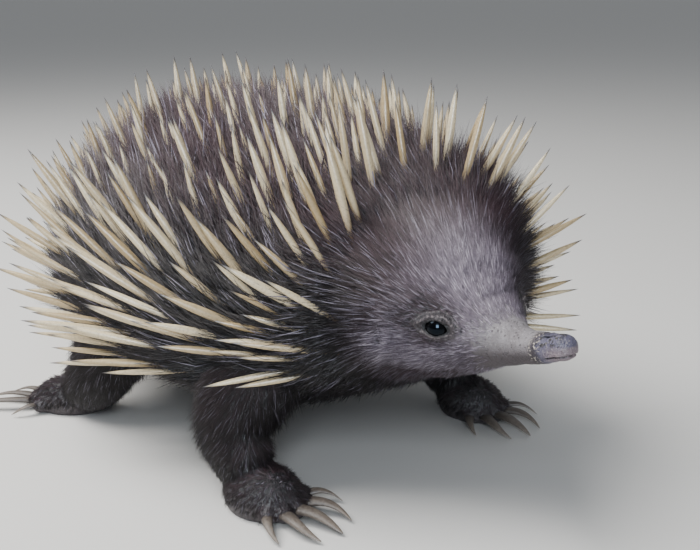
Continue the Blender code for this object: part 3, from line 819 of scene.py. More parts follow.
def feed(tree: NodeTree, socket: NodeSocket, value: object) -> None:
    """Links a socket to a value, or sets it.

    Args:
        tree: The tree that the socket is in.
        socket: The input socket.
        value: A Value, an output socket, a number, a vector, a colour, a name or a block of data.
    """
    if isinstance(value, Value):
        value = value.socket
    if isinstance(value, NodeSocket):
        tree.links.new(value, socket)
    elif socket.type == "RGBA":
        socket.default_value = (*value, 1.0)
    else:
        socket.default_value = value


def add_node(tree: NodeTree, kind: str, settings: dict, inputs: dict) -> Node:
    """A new node with its settings and the values or links of its sockets.

    Args:
        tree: Where it goes.
        kind: The node's type.
        settings: Its properties.
        inputs: Sockets by name or number, and what goes in.

    Returns:
        The node.
    """
    made = tree.nodes.new(kind)
    for name, value in settings.items():
        setattr(made, name, value)
    for name, value in inputs.items():
        feed(tree, made.inputs[name], value)
    return made


class Shading:
    """One material under construction."""

    def __init__(self, name: str) -> None:
        """Starts an empty node tree with a Principled shader.

        Args:
            name: The material's name.
        """
        self.material = bpy.data.materials.new(name)
        self.material.use_nodes = True
        self.tree = self.material.node_tree
        self.tree.nodes.clear()
        self.surface = self.node("ShaderNodeBsdfPrincipled", {}, {})
        self.node("ShaderNodeOutputMaterial", {}, {0: self.surface.outputs[0]})

    def node(self, kind: str, settings: dict, inputs: dict) -> Node:
        """A node of the material, made by add_node."""
        return add_node(self.tree, kind, settings, inputs)

    def attribute(self, name: str) -> Value:
        """A number that the mesh carries."""
        made = self.node("ShaderNodeAttribute", {"attribute_name": name}, {})
        return Value(self, made.outputs["Fac"])

    def place(self, scale: Triple = (1.0, 1.0, 1.0)) -> NodeSocket:
        """The object's own coordinates, scaled."""
        source = self.node("ShaderNodeTexCoord", {}, {}).outputs["Object"]
        return self.node("ShaderNodeVectorMath", {"operation": "MULTIPLY"}, {0: source, 1: scale}).outputs[0]

    def noise(self, per_metre: float, detail: float = 2.0, scale: tuple = (1.0, 1.0, 1.0)) -> Value:
        """Noise on the object's own coordinates, which may be stretched. It is about 0.5 on average."""
        inputs = {"Vector": self.place(scale), "Scale": per_metre, "Detail": detail}
        return Value(self, self.node("ShaderNodeTexNoise", {}, inputs).outputs[0])

    def cells(self, per_metre: float) -> Value:
        """The distance from the nearest of many scattered points."""
        made = self.node("ShaderNodeTexVoronoi", {}, {"Vector": self.place(), "Scale": per_metre})
        return Value(self, made.outputs["Distance"])

    def mix(self, amount: object, first: object, second: object) -> NodeSocket:
        """A colour between two, given as colours or sockets, from the second one's share."""
        return self.node("ShaderNodeMix", {"data_type": "RGBA"}, {0: amount, 6: first, 7: second}).outputs[2]

    def layers(self, colour: object, *coats: tuple[object, object]) -> NodeSocket:
        """A colour with others laid over it in turn.

        Args:
            colour: The lowest colour.
            coats: The share and the colour of each of the others.

        Returns:
            The colour's socket.
        """
        for amount, coat in coats:
            colour = self.mix(amount, colour, coat)
        return colour

    def finish(self, **inputs: object) -> Material:
        """Feeds the Principled shader's sockets, whose names are written with underscores.

        Args:
            inputs: What goes into each socket.

        Returns:
            The material.
        """
        for name, value in inputs.items():
            feed(self.tree, self.surface.inputs[name.replace("_", " ")], value)
        return self.material

    def bump(self, height: Value, distance: float) -> NodeSocket:
        """The normal of a surface with that height, which reaches the distance in metres."""
        return self.node("ShaderNodeBump", {}, {"Height": height, "Distance": distance}).outputs[0]


Colour = Triple
BLACK = (0.0, 0.0, 0.0)


@dataclass(frozen=True)
class FurFinish:
    """Hair: dark at the root, with pale guard hairs among the dark ones."""

    dark: Colour = (0.006, 0.0035, 0.0045)
    brown: Colour = (0.078, 0.042, 0.055)
    guard: Colour = (0.28, 0.26, 0.34)
    pale: Colour = (0.074, 0.058, 0.084)
    pale_light: Colour = (0.315, 0.272, 0.350)
    pale_guard: Colour = (0.72, 0.67, 0.78)
    root_shade: float = 0.6
    roughness: float = 0.45

    def build(self) -> Material:
        """The material of every strand.

        Returns:
            The material.
        """
        shading = Shading("fur")
        tone, along, pale, guard = (shading.attribute(name) for name in ("Tone", "Along", "Pale", "Guard"))
        is_guard = guard * along.stepped(0.1, 0.7)
        # Tone carries a random tone times painted light, which darkens the fur low on the body.
        body = shading.layers(self.dark, (tone, self.brown), (is_guard, self.guard))
        head = shading.layers(self.pale, (tone, self.pale_light), (is_guard, self.pale_guard))
        colour = shading.mix(pale, body, head)
        root = shading.mix(self.root_shade, colour, BLACK)
        colour = shading.mix(along.stepped(0.0, 0.6), root, colour)
        return shading.finish(Base_Color=colour, Roughness=self.roughness)


@dataclass(frozen=True)
class SpineFinish:
    """Horn of a spine: straw-coloured, browner at the root and grey at the very tip."""

    root: Colour = (0.20, 0.12, 0.058)
    shaft: Colour = (0.50, 0.375, 0.20)
    pale: Colour = (0.92, 0.80, 0.56)
    tip: Colour = (0.085, 0.08, 0.088)
    roughness: float = 0.28
    streaks_per_metre: float = 900.0
    streak_share: float = 0.28

    def build(self) -> Material:
        """The material of every spine.

        Returns:
            The material.
        """
        shading = Shading("spine_horn")
        tone, along = shading.attribute("Tone"), shading.attribute("Along")
        streaks = shading.noise(self.streaks_per_metre).stepped(0.45, 0.75) * self.streak_share
        shaft = shading.layers(self.shaft, (tone, self.pale), (streaks, self.root))
        above_root, near_tip = along.stepped(0.10, 0.42), along.stepped(0.84, 0.98)
        colour = shading.layers(self.root, (above_root, shaft), (near_tip, self.tip))
        relief = shading.bump(shading.noise(1500.0), 0.00012)
        return shading.finish(Base_Color=colour, Roughness=self.roughness, Normal=relief)


@dataclass(frozen=True)
class SkinFinish:
    """Skin: dark under the coat, and bare, pored and creased on beak, lids and feet."""

    under_dark: Colour = (0.010, 0.008, 0.010)
    under_pale: Colour = (0.120, 0.100, 0.112)
    bare: Colour = (0.255, 0.238, 0.252)
    bare_shade: Colour = (0.125, 0.108, 0.114)
    # Dark of the pores, and painted shade on the lower side of beak and body.
    pore_and_under_shade: Colour = (0.050, 0.038, 0.043)
    lid: Colour = (0.046, 0.034, 0.040)
    # Paler lid tone, laid on as painted highlight along the fold crests and as random mottling.
    lid_ridge: Colour = (0.235, 0.20, 0.205)
    collar: Colour = (0.034, 0.026, 0.032)
    tip: Colour = (0.096, 0.090, 0.146)
    speck: Colour = (0.012, 0.010, 0.013)
    grit: Colour = (0.52, 0.47, 0.42)
    dust: Colour = (0.42, 0.40, 0.41)
    lip: Colour = (0.215, 0.165, 0.190)
    shadow: Colour = (0.006, 0.005, 0.006)
    roughness: float = 0.5

    def build(self) -> Material:
        """The material of the skin.

        Returns:
            The material.
        """
        shading = Shading("skin")
        names = ("Bare", "Pale", "Tip", "Lid", "Shadow", "Lip", "Under", "Ridge", "Specks")
        bare, pale, tip, lid, shadow, lip, under, ridge, specks = (shading.attribute(name) for name in names)
        patches = shading.noise(160.0, 4.0).stepped(0.35, 0.7)
        freckles = shading.noise(1500.0, 3.0).stepped(0.55, 0.72)
        spots = shading.cells(520.0).stepped(0.27, 0.12)
        dust = shading.noise(900.0, 4.0).stepped(0.58, 0.70)
        skin = shading.layers(
            self.bare,
            (patches * 0.6, self.bare_shade),
            (freckles * 0.4, self.bare_shade),
            (spots * 0.75, self.pore_and_under_shade),
            (dust * 0.6, self.dust),
            # painted shade on the lower side of beak and body
            (under * 0.92, self.pore_and_under_shade),
        )
        scabs = shading.noise(700.0, 5.0).stepped(0.50, 0.56)
        stained = shading.layers(self.tip, (scabs * specks, self.speck), (lip, self.lip))
        edge = tip * (1 - tip) * 4.0
        ragged = (tip + (shading.noise(420.0, 3.0) - 0.5) * edge).stepped(0.35, 0.6)
        crust = edge * shading.noise(500.0, 4.0).stepped(0.25, 0.5) * 0.9
        grit = shading.noise(1150.0, 2.0).stepped(0.57, 0.63) * (tip * 0.2 + edge * 0.9)
        # The lids: painted highlight along the fold crests, mixed with random mottling.
        paler_tone = (ridge * 0.6 + (shading.noise(1000.0, 5.0) - 0.5) * 2.4).stepped(0.05, 0.85)
        lids = shading.mix(paler_tone, self.lid, self.lid_ridge)
        skin = shading.layers(skin, (ragged, stained), (crust, self.collar), (grit, self.grit), (lid, lids))
        coat = shading.mix(pale, self.under_dark, self.under_pale)
        colour = shading.layers(coat, (bare, skin), (shadow, self.shadow))
        pores = shading.cells(1700.0).stepped(0.0, 0.5)
        creases = shading.noise(1000.0, 5.0, (2.2, 0.8, 0.8))
        relief = shading.bump(pores * 0.4 + creases * (1 + lid) - spots * 0.6, 0.0005)
        rough = self.roughness - shading.noise(500.0).stepped(0.4, 0.8) * 0.14
        return shading.finish(Base_Color=colour, Roughness=rough, Normal=relief)


@dataclass(frozen=True)
class EyeFinish:
    """A wet, nearly black eye with a faint iris and a blue gleam."""

    pupil: Colour = (0.001, 0.001, 0.0015)
    iris: Colour = (0.004, 0.0034, 0.0036)
    white: Colour = (0.003, 0.0025, 0.0025)
    gleam: Colour = (0.55, 0.76, 1.0)
    roughness: float = 0.04
    refraction: float = 1.25

    def build(self) -> Material:
        """The material of both eyes.

        Returns:
            The material.
        """
        shading = Shading("eye")
        polar = shading.attribute("Polar")
        fibres = shading.noise(1800.0, 3.0).stepped(0.3, 0.8)
        iris = shading.mix(fibres, self.iris, self.pupil)
        past_pupil, past_iris = polar.stepped(0.24, 0.30), polar.stepped(0.50, 0.60)
        colour = shading.layers(self.pupil, (past_pupil, iris), (past_iris, self.white))
        return shading.finish(
            Base_Color=colour, Roughness=self.roughness, IOR=self.refraction, Specular_Tint=self.gleam
        )


@dataclass(frozen=True)
class ClawFinish:
    """Worn dark horn, paler and scratched towards the tip."""

    dark: Colour = (0.055, 0.045, 0.040)
    paler_tone: Colour = (0.24, 0.20, 0.165)
    roughness: float = 0.42

    def build(self) -> Material:
        """The material of every claw.

        Returns:
            The material.
        """
        shading = Shading("claw_horn")
        along = shading.attribute("Along")
        scratches = shading.noise(700.0, 5.0).stepped(0.42, 0.7)
        colour = shading.mix(along * 0.75 + scratches * 0.25, self.dark, self.paler_tone)
        relief = shading.bump(shading.noise(1300.0, 4.0), 0.0002)
        return shading.finish(Base_Color=colour, Roughness=self.roughness + scratches * 0.2, Normal=relief)


def frame_shift() -> Array:
    """How far the frame's place of the animal lies from this script's own, in millimetres.

    Returns:
        The shift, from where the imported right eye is.
    """
    low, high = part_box("eye_right")
    here, normal, _, _ = EYES[1].axes()
    packed_depth = 3.2
    shift = np.array((low + high) / 2) / MM - (here - normal * packed_depth)
    shift[2] = 0.0
    return shift


SHIFT = frame_shift()


def mesh_of(name: str, points: Array, faces: Faces) -> Mesh:
    """A smooth mesh in metres from points in millimetres.

    Args:
        name: The mesh's name.
        points: The points.
        faces: Tables of corner numbers, each with faces of one size.

    Returns:
        The mesh.
    """
    mesh = bpy.data.meshes.new(name)
    sizes = np.concatenate([np.full(len(table), table.shape[1]) for table in faces])
    mesh.vertices.add(len(points))
    mesh.vertices.foreach_set("co", ((points + SHIFT) * MM).astype(np.float32).ravel())
    corners = np.concatenate([table.ravel() for table in faces])
    mesh.loops.add(len(corners))
    mesh.loops.foreach_set("vertex_index", corners.astype(np.int32))
    mesh.polygons.add(len(sizes))
    mesh.polygons.foreach_set("loop_start", (np.cumsum(sizes) - sizes).astype(np.int32))
    mesh.update(calc_edges=True)
    mesh.shade_smooth()
    return mesh


def carry(mesh: Mesh, name: str, values: Array) -> None:
    """Gives each of the mesh's points a number that a material can read."""
    mesh.attributes.new(name, "FLOAT", "POINT").data.foreach_set("value", values.astype(np.float32))


def carry_vectors(mesh: Mesh, name: str, values: Array, domain: str = "POINT") -> None:
    """Gives each of the mesh's points, or its faces' corners, a vector that a node tree can read."""
    data = mesh.attributes.new(name, "FLOAT_VECTOR", domain).data
    data.foreach_set("vector", values.astype(np.float32).ravel())


def vertex_rows(mesh: Mesh, name: str) -> Array:
    """The places of a mesh's points, or their normals.

    Args:
        mesh: The mesh.
        name: Which of the two: co or normal.

    Returns:
        One row for each point.
    """
    values = np.empty(len(mesh.vertices) * 3, np.float32)
    mesh.vertices.foreach_get(name, values)
    return values.reshape(-1, 3)


def own_places(mesh: Mesh) -> Array:
    """The mesh's points in this script's own millimetres."""
    return vertex_rows(mesh, "co") / MM - SHIFT


def mesh_from(shape: bmesh.types.BMesh, name: str) -> Mesh:
    """A mesh of a form under construction, which is freed.

    Args:
        shape: The form.
        name: The mesh's name.

    Returns:
        The mesh.
    """
    mesh = bpy.data.meshes.new(name)
    shape.to_mesh(mesh)
    shape.free()
    return mesh


def linked(name: str, data: bpy.types.ID) -> Object:
    """A new object in the scene.

    Args:
        name: Its name.
        data: Its mesh, light or camera.

    Returns:
        The object.
    """
    made = bpy.data.objects.new(name, data)
    bpy.context.scene.collection.objects.link(made)
    return made


def add_piece(name: str, mesh: Mesh, material: Material) -> Object:
    """A new object in the scene that wears the material."""
    mesh.materials.append(material)
    return linked(name, mesh)


def dress(piece: Object, replaced: list[str]) -> Object:
    """Makes a piece ride on the body, take the place of nodes and log its triangles.

    Args:
        piece: The piece.
        replaced: The nodes that it stands for.

    Returns:
        The piece.
    """
    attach(piece, BODY)
    if replaced:
        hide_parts(*replaced)
    piece.data.calc_loop_triangles()
    log.info("%s: %d triangles", piece.name, len(piece.data.loop_triangles))
    return piece


def closed_loft(rings: Array, root: Array | None, tip: Array | None) -> tuple[Array, Faces]:
    """Points and faces of a closed skin over rings, whose ends are poles or flat caps.

    Args:
        rings: Rings of points, all with the same count.
        root: The pole before the first ring, if any.
        tip: The pole after the last ring, if any.

    Returns:
        The points, and tables of faces.
    """
    rows, count = rings.shape[:2]
    here = np.arange(rows * count).reshape(rows, count)
    beside = np.roll(here, -1, axis=1)
    quads = np.stack([here[:-1], beside[:-1], beside[1:], here[1:]], axis=-1).reshape(-1, 4)
    points, faces = [rings.reshape(-1, 3)], [quads]
    for row, pole, turned in ((0, root, True), (-1, tip, False)):
        if pole is None:
            faces.append(here[row][None, ::-1] if turned else here[row][None])
            continue
        number = np.full(count, sum(len(block) for block in points))
        points.append(np.asarray(pole)[None])
        first, second = (beside[row], here[row]) if turned else (here[row], beside[row])
        faces.append(np.stack([first, second, number], axis=-1))
    return np.concatenate(points), faces


def ball(half_sizes: tuple, place: Matrix, segments: int, rows: int) -> Mesh:
    """An ellipsoid of those half sizes, turned and moved by the matrix, all in millimetres.

    Args:
        half_sizes: Its half sizes.
        place: Where it lies.
        segments: Its sides.
        rows: Its rings.

    Returns:
        The mesh, in metres at the frame's place.
    """
    shape = bmesh.new()
    to_frame = Matrix.Scale(MM, 4) @ Matrix.Translation(SHIFT) @ place
    matrix = to_frame @ Matrix.Diagonal((*half_sizes, 1.0))
    bmesh.ops.create_uvsphere(shape, u_segments=segments, v_segments=rows, radius=1.0, matrix=matrix)
    return mesh_from(shape, "ball")


def evaluated(piece: Object) -> Mesh:
    """The mesh of an object after its modifiers, which are then removed.

    Args:
        piece: The object.

    Returns:
        The new mesh.
    """
    made = piece.evaluated_get(bpy.context.evaluated_depsgraph_get())
    mesh = bpy.data.meshes.new_from_object(made)
    piece.modifiers.clear()
    return mesh


@dataclass(frozen=True)
class Surface:
    """The finished skin as arrays, on which the fur is rooted."""

    middles: Array
    normals: Array
    areas: Array
    corners: Array
    corner_normals: Array
    on_limb: Array


PAIRED_NODES = tuple(
    f"{part}_{side.name.lower()}"
    for part in ("ear", "foreleg", "hindleg", "forefoot", "hindfoot")
    for side in Side
)


@dataclass(frozen=True)
class Skin:
    """One skin over torso, neck, head, beak, tail, legs and feet."""

    sides: int = 336
    leg_sides: int = 40
    leg_rings: int = 40
    voxel: float = 1.35
    smoothing: int = 4
    sole_height: float = 0.0
    tail_end: float = 0.985
    wrinkled_from: float = 134.0
    wrinkled_to: float = 142.0
    broad_scale: Triple = (0.22, 0.16, 0.16)
    broad_height: float = 0.4
    fine_scale: Triple = (1.1, 0.5, 0.5)
    fine_height: float = 0.14
    tail_rings: int = 16
    pad_grid: tuple[int, int] = (40, 24)
    toe_grid: tuple[int, int] = (24, 16)
    replaced: tuple[str, ...] = ("torso", "neck", "head", "beak", "tail", *PAIRED_NODES)

    def ring_places(self) -> Array:
        """Places of the body's rings, closest where the head has its finest forms.

        Returns:
            Places along the body, from the rump to the beak's tip.
        """
        first, last = FORM.stations[0].along, FORM.stations[-1].along
        turns = np.radians(np.linspace(0, 90, 14))[1:-1]
        runs = (
            (first, 88.0, 5.0),
            (88.0, 124.0, 2.6),
            (124.0, 138.0, 0.8),
            (138.0, 156.0, 0.38),
            (156.0, 186.0, 0.75),
            (186.0, last, 0.35),
        )
        places = [first - FORM.rump_rounding * np.sin(turns[::-1])]
        for start, end, step in runs:
            places.append(np.arange(start, end - step / 4, step))
        places.append([last])
        places.append(last + FORM.tip_rounding * np.sin(turns))
        return np.concatenate(places)

    def body(self) -> Object:
        """The body from rump to beak tip, with the head's fine forms.

        Returns:
            The body, whose material only marks its faces for the join.
        """
        along, angle = np.meshgrid(self.ring_places(), turns_round(self.sides), indexing="ij")
        points, normals, _ = FORM.frames(along, angle)
        flat, out = points.reshape(-1, 3), normals.reshape(-1, 3)
        height = EAR.relief(flat) + BEAK.relief(flat, along.ravel())
        for eye in EYES:
            height = height + eye.relief(flat)
        height = height + self.wrinkles(flat, along.ravel())
        rings = (flat + out * height[:, None]).reshape(points.shape)[:, ::-1]
        rump = FORM.points(FORM.stations[0].along - FORM.rump_rounding, 0.0)
        tip = FORM.points(FORM.stations[-1].along + FORM.tip_rounding, 0.0)
        mesh = mesh_of("skin", *closed_loft(rings, rump, tip))
        return add_piece("skin", mesh, bpy.data.materials.new("body"))

    def wrinkles(self, points: Array, along: Array) -> Array:
        """Shallow folds and unevenness of the bare beak and of the face.

        Args:
            points: Points on the plain skin.
            along: Their places along the body.

        Returns:
            Heights in millimetres.
        """
        height = np.zeros(len(points))
        for i in np.flatnonzero(along > self.wrinkled_from):
            broad = noise.noise(Vector(points[i] * self.broad_scale))
            fine = noise.noise(Vector(points[i] * self.fine_scale))
            height[i] = broad * self.broad_height + fine * self.fine_height
        return height * share(self.wrinkled_from, self.wrinkled_to, along)

    def limb_parts(self) -> list[Mesh]:
        """Closed meshes of the tail, and of each leg, pad and toe.

        Returns:
            The meshes.
        """
        shares = np.linspace(0.0, self.tail_end, self.tail_rings)
        turns = turns_round(self.leg_sides)
        axis = unit(np.subtract(TAIL.tip, TAIL.root))
        circle = np.outer(np.cos(turns), LEFTWARD) + np.outer(np.sin(turns), np.cross(axis, LEFTWARD))
        rings = TAIL.middle(shares)[:, None] + TAIL.radius(shares)[:, None, None] * circle
        parts = [mesh_of("tail", *closed_loft(rings, None, np.array(TAIL.tip)))]
        for leg, foot in LIMBS:
            for side in Side:
                parts.append(self.leg(leg, side))
                pad = turned_place(foot.x, foot.y * side.value, foot.centre_height, foot.heading * side.value)
                parts.append(ball(foot.half_sizes, pad, *self.pad_grid))
                for x, y, heading in foot.toe_places(side):
                    toe = turned_place(x, y, foot.toe_height, heading)
                    parts.append(ball(foot.toe_half_sizes, toe, *self.toe_grid))
        return parts

    def leg(self, leg: tuple[LegPoint, ...], side: Side) -> Mesh:
        """A leg as a smooth loft through its sections.

        Args:
            leg: The left leg's points.
            side: The animal's side.

        Returns:
            The mesh.
        """
        sections = leg_sections(leg, side, self.leg_rings)
        middles = sections[:, :3]
        axes = unit(np.gradient(middles, axis=0))
        fore = unit(np.array([1.0, 0.0, 0.0]) - axes * axes[:, :1])
        across = np.cross(axes, fore)
        turns = turns_round(self.leg_sides)
        rings = (
            middles[:, None]
            + (sections[:, 4, None] * np.cos(turns))[..., None] * fore[:, None]
            + (sections[:, 3, None] * np.sin(turns))[..., None] * across[:, None]
        )
        return mesh_of("leg", *closed_loft(rings, None, None))

    def limbs(self) -> Object:
        """Tail, legs and feet flowed into one form, flat under the soles.

        Returns:
            The limbs, whose material only marks their faces for the join.
        """
        shape = bmesh.new()
        for part in self.limb_parts():
            shape.from_mesh(part)
        bmesh.ops.recalc_face_normals(shape, faces=shape.faces)
        limbs = add_piece("limbs", mesh_from(shape, "limbs"), bpy.data.materials.new("limb"))
        remesh = limbs.modifiers.new("flow", "REMESH")
        remesh.mode = "VOXEL"
        remesh.voxel_size = self.voxel * MM
        smooth = limbs.modifiers.new("soften", "SMOOTH")
        smooth.iterations = self.smoothing
        limbs.data = evaluated(limbs)
        places = vertex_rows(limbs.data, "co")
        places[:, 2] = np.maximum(places[:, 2], self.sole_height * MM)
        limbs.data.vertices.foreach_set("co", places.ravel())
        return limbs

    def build(self) -> tuple[Object, Surface]:
        """The whole skin.

        Returns:
            The piece, and what the fur needs to know of it.
        """
        body, limbs = self.body(), self.limbs()
        joint = body.modifiers.new("join", "BOOLEAN")
        joint.operation = "UNION"
        joint.solver = "MANIFOLD"
        joint.material_mode = "TRANSFER"
        joint.object = limbs
        mesh = evaluated(body)
        bpy.data.objects.remove(limbs)
        mesh.shade_smooth()
        surface = self.read(mesh)
        self.mark(mesh)
        mesh.materials.clear()
        mesh.materials.append(SkinFinish().build())
        mesh.polygons.foreach_set("material_index", np.zeros(len(mesh.polygons), np.int32))
        body.data = mesh
        return dress(body, list(self.replaced)), surface

    def read(self, mesh: Mesh) -> Surface:
        """The skin's triangles as arrays.

        Args:
            mesh: The skin.

        Returns:
            Its surface, in this script's own millimetres.
        """
        mesh.calc_loop_triangles()
        count = len(mesh.loop_triangles)
        corners, owners = np.empty(count * 3, np.int32), np.empty(count, np.int32)
        areas, materials = np.empty(count, np.float32), np.empty(len(mesh.polygons), np.int32)
        mesh.loop_triangles.foreach_get("vertices", corners)
        mesh.loop_triangles.foreach_get("polygon_index", owners)
        mesh.loop_triangles.foreach_get("area", areas)
        mesh.polygons.foreach_get("material_index", materials)
        corners = corners.reshape(-1, 3)
        places, normals = own_places(mesh)[corners], vertex_rows(mesh, "normal")[corners]
        middle_normals = unit(normals.mean(axis=1))
        on_limb = materials[owners] == 1
        log.info("skin joined: %d triangles on limbs", on_limb.sum())
        return Surface(places.mean(axis=1), middle_normals, areas / MM**2, places, normals, on_limb)

    def mark(self, mesh: Mesh) -> None:
        """Gives the skin the numbers that its material reads.

        Args:
            mesh: The skin.
        """
        places = own_places(mesh)
        along, angle = FORM.locate(places)
        low = share(14.0, 4.0, places[:, 2])
        upper, lower = share(0.0, 0.4, np.cos(angle)), share(0.45, -0.35, np.cos(angle))
        marks = {
            "Bare": np.maximum(MARKINGS.bare(places, along), low * 0.9),
            "Pale": MARKINGS.pale(along, angle),
            # Painted shade on the lower side of beak and body.
            "Under": share(0.5, -0.4, np.cos(angle)),
            "Lid": MARKINGS.lids(places),
            # Painted highlight on the crests of the lids' folds and on the lower rim.
            "Ridge": np.maximum(*(eye.painted_ridge_light(places) for eye in EYES)),
            "Specks": upper * share(184.5, 187.5, along) * share(198.0, 195.5, along),
            "Shadow": MARKINGS.shadow(places, along),
            "Tip": share(181.5, 189.0, along),
            "Lip": lower * share(187.0, 194.0, along) * 0.9,
        }
        for name, values in marks.items():
            carry(mesh, name, values)


@dataclass(frozen=True)
class Eyeball:
    """A finely rounded eye that looks out between the lids."""

    segments: int = 64
    rows: int = 48

    def build(self, eye: Eye, material: Material) -> Object:
        """One eye.

        Args:
            eye: Its place and size.
            material: Its finish.

        Returns:
            The piece.
        """
        _, normal, _, _ = eye.axes()
        turned = Vector(normal).to_track_quat("Z", "Y").to_matrix().to_4x4()
        mesh = ball((eye.radius,) * 3, Matrix.Translation(eye.centre()) @ turned, self.segments, self.rows)
        mesh.shade_smooth()
        outward = unit(own_places(mesh) - eye.centre())
        carry(mesh, "Polar", np.arccos(np.clip(outward @ normal, -1, 1)) / (math.pi / 2))
        name = "eye_" + eye.side.name.lower()
        return dress(add_piece(name + "_wet", mesh, material), [name])


@dataclass(frozen=True)
class Claws:
    """The five claws of one foot, flattened, arched and curved."""

    foot: Foot
    side: Side
    sides: int = 14
    rings: int = 14
    height: float = 4.6
    tip_height: float = 1.6
    arch: float = 1.6
    flatness: float = 0.62
    sole_flatness: float = 0.55
    last_ring: float = 0.975
    inset: float = 3.5
    curl: float = 16.0
    curl_full_turn: float = 20.0

    def claw(self, length: float, half_width: float, place: Matrix, curl: float) -> tuple[Array, Faces]:
        """Points and faces of one claw.

        Args:
            length: How far it reaches.
            half_width: Its half width at the root.
            place: Where it starts and which way it points.
            curl: How far it turns sideways, in degrees.

        Returns:
            The points, and tables of faces.
        """
        shares, turns = np.linspace(0.0, self.last_ring, self.rings), turns_round(self.sides)
        bend = np.tan(np.radians(curl) * shares**2)
        fall = (self.height - self.tip_height) * shares**1.6
        rise = self.height + self.arch * np.sin(math.pi * shares) - fall
        middle = np.stack([length * shares, length * bend * shares, rise], axis=1)
        wide = half_width * (1 - shares) ** 0.55
        ring = np.stack([np.zeros_like(turns), np.cos(turns), np.sin(turns) * self.flatness], axis=1)
        ring[:, 2] = np.where(ring[:, 2] < 0, ring[:, 2] * self.sole_flatness, ring[:, 2])
        rings = middle[:, None] + wide[:, None, None] * ring
        tip = np.array([length, length * math.tan(math.radians(curl)), self.tip_height])
        points, faces = closed_loft(rings, None, tip)
        turned = np.array(place)
        return points @ turned[:3, :3].T + turned[:3, 3], faces

    def build(self, material: Material) -> Object:
        """The claws as one piece.

        Args:
            material: Their finish.

        Returns:
            The piece.
        """
        points, tables, names = [], [], []
        places = self.foot.toe_places(self.side)
        start = 0
        for number, (toe, (x, y, heading)) in enumerate(zip(self.foot.toes, places), 1):
            place = turned_place(x, y, 0.0, heading) @ Matrix.Translation((self.inset, 0.0, 0.0))
            curl = -self.side.value * self.curl * max(-1.0, min(1.0, toe.turn / self.curl_full_turn))
            length = toe.claw_length + self.foot.toe_half_sizes[0] - self.inset
            found, faces = self.claw(length, toe.claw_half_width, place, curl)
            points.append(found)
            tables.append([table + start for table in faces])
            start += len(found)
            names.append(f"{self.foot.name}_{self.side.name.lower()}_claw_{number}")
        quads = np.concatenate([claw[0] for claw in tables])
        ends = [table for claw in tables for table in claw[1:]]
        along = np.append(np.repeat(np.linspace(0.0, self.last_ring, self.rings), self.sides), 1.0)
        name = f"claws_{self.foot.name}_{self.side.name.lower()}"
        mesh = mesh_of(name, np.concatenate(points), [quads, *ends])
        shape = bmesh.new()
        shape.from_mesh(mesh)
        bmesh.ops.recalc_face_normals(shape, faces=shape.faces)
        shape.to_mesh(mesh)
        shape.free()
        carry(mesh, "Along", np.tile(along, len(names)))
        return dress(add_piece(name, mesh, material), names)


@dataclass(frozen=True)
class Lie:
    """Which way spines and long fur point on the body."""

    backward: float = 0.38
    outward: float = 0.36
    upward_low: float = 0.22
    upward_high: float = 1.0
    least_lift: float = 0.34
    flared_out: float = 1.2
    flared_up: float = 0.6

    def directions(self, normals: Array, along: Array, jitter: Array) -> Array:
        """Directions that lean back, up and out, upright over the back and flared at the left collar.

        Args:
            normals: The skin's normals at the roots.
            along: The roots' places along the body.
            jitter: A random part for each direction.

        Returns:
            Unit vectors.
        """
        upward = blend(self.upward_low, self.upward_high, share(-0.25, 0.6, normals[:, 2]))
        flared = share(66.0, 100.0, along) * share(0.0, 0.35, normals[:, 1])
        back, out = blend(self.backward, 0.0, flared), blend(self.outward, self.flared_out, flared)
        upward = blend(upward, self.flared_up, flared)
        aims = out[:, None] * normals
        aims[:, 0] -= back
        aims[:, 2] += upward
        aims = unit(unit(aims) + jitter)
        lacking = np.clip(self.least_lift - dots(aims, normals), 0.0, None)
        return unit(aims + normals * lacking[:, None])


LIE = Lie()


def limb_clearance(lines: Array) -> Array:
    """How far lines of points stay from legs, feet and tail.

    Args:
        lines: For each spine, points from root to tip.

    Returns:
        The least distance of each line.
    """
    middles, radii = [], []
    leg_samples, tail_samples = 21, 12
    for leg, foot in LIMBS:
        for side in Side:
            sections = leg_sections(leg, side, leg_samples)
            middles.append(sections[:, :3])
            radii.append(sections[:, 3:].max(axis=1))
            middles.append([(foot.x, foot.y * side.value, foot.centre_height)])
            radii.append([foot.half_sizes[0] + foot.toe_half_sizes[0]])
    shares = np.linspace(0.0, 1.0, tail_samples)
    middles.append(TAIL.middle(shares))
    radii.append(TAIL.radius(shares))
    middles, radii = np.concatenate(middles), np.concatenate(radii)
    found = np.full(len(lines), np.inf)
    for middle, radius in zip(middles, radii):
        found = np.minimum(found, np.linalg.norm(lines - middle, axis=2).min(axis=1) - radius)
    return found


def patch_places(points: Array, along: Array, angle: Array, on_limb: Array) -> Array:
    """Where roots lie on an unwrap of the skin's own shape.

    The body unrolls into the map's upper part, and the limbs, seen along their length, into its lower part.

    Args:
        points: The roots.
        along: Their places along the body.
        angle: Their angles from the top towards the left.
        on_limb: Which of them are on legs, feet or tail.

    Returns:
        A place on the map for each root.
    """
    first = FORM.stations[0].along - FORM.rump_rounding
    last = FORM.stations[-1].along + FORM.tip_rounding
    body_u = 0.02 + 0.96 * (along - first) / (last - first)
    body_v = 0.38 + 0.60 * (angle / math.tau + 0.5)
    quarter = (points[:, 0] < 0) * 2 + (points[:, 1] < 0)
    centre_x = np.where(points[:, 0] < 0, HINDFOOT.x, FOREFOOT.x)
    centre_y = np.where(points[:, 1] < 0, -1, 1) * FOREFOOT.y
    turn = np.arctan2(points[:, 1] - centre_y, points[:, 0] - centre_x) / math.tau + 0.5
    limb_u = 0.02 + 0.24 * (quarter + turn * 0.94)
    limb_v = 0.02 + 0.32 * np.clip(points[:, 2] / 80.0, 0, 1)
    limb, body = np.stack([limb_u, limb_v], axis=1), np.stack([body_u, body_v], axis=1)
    return np.where(on_limb[:, None], limb, body)


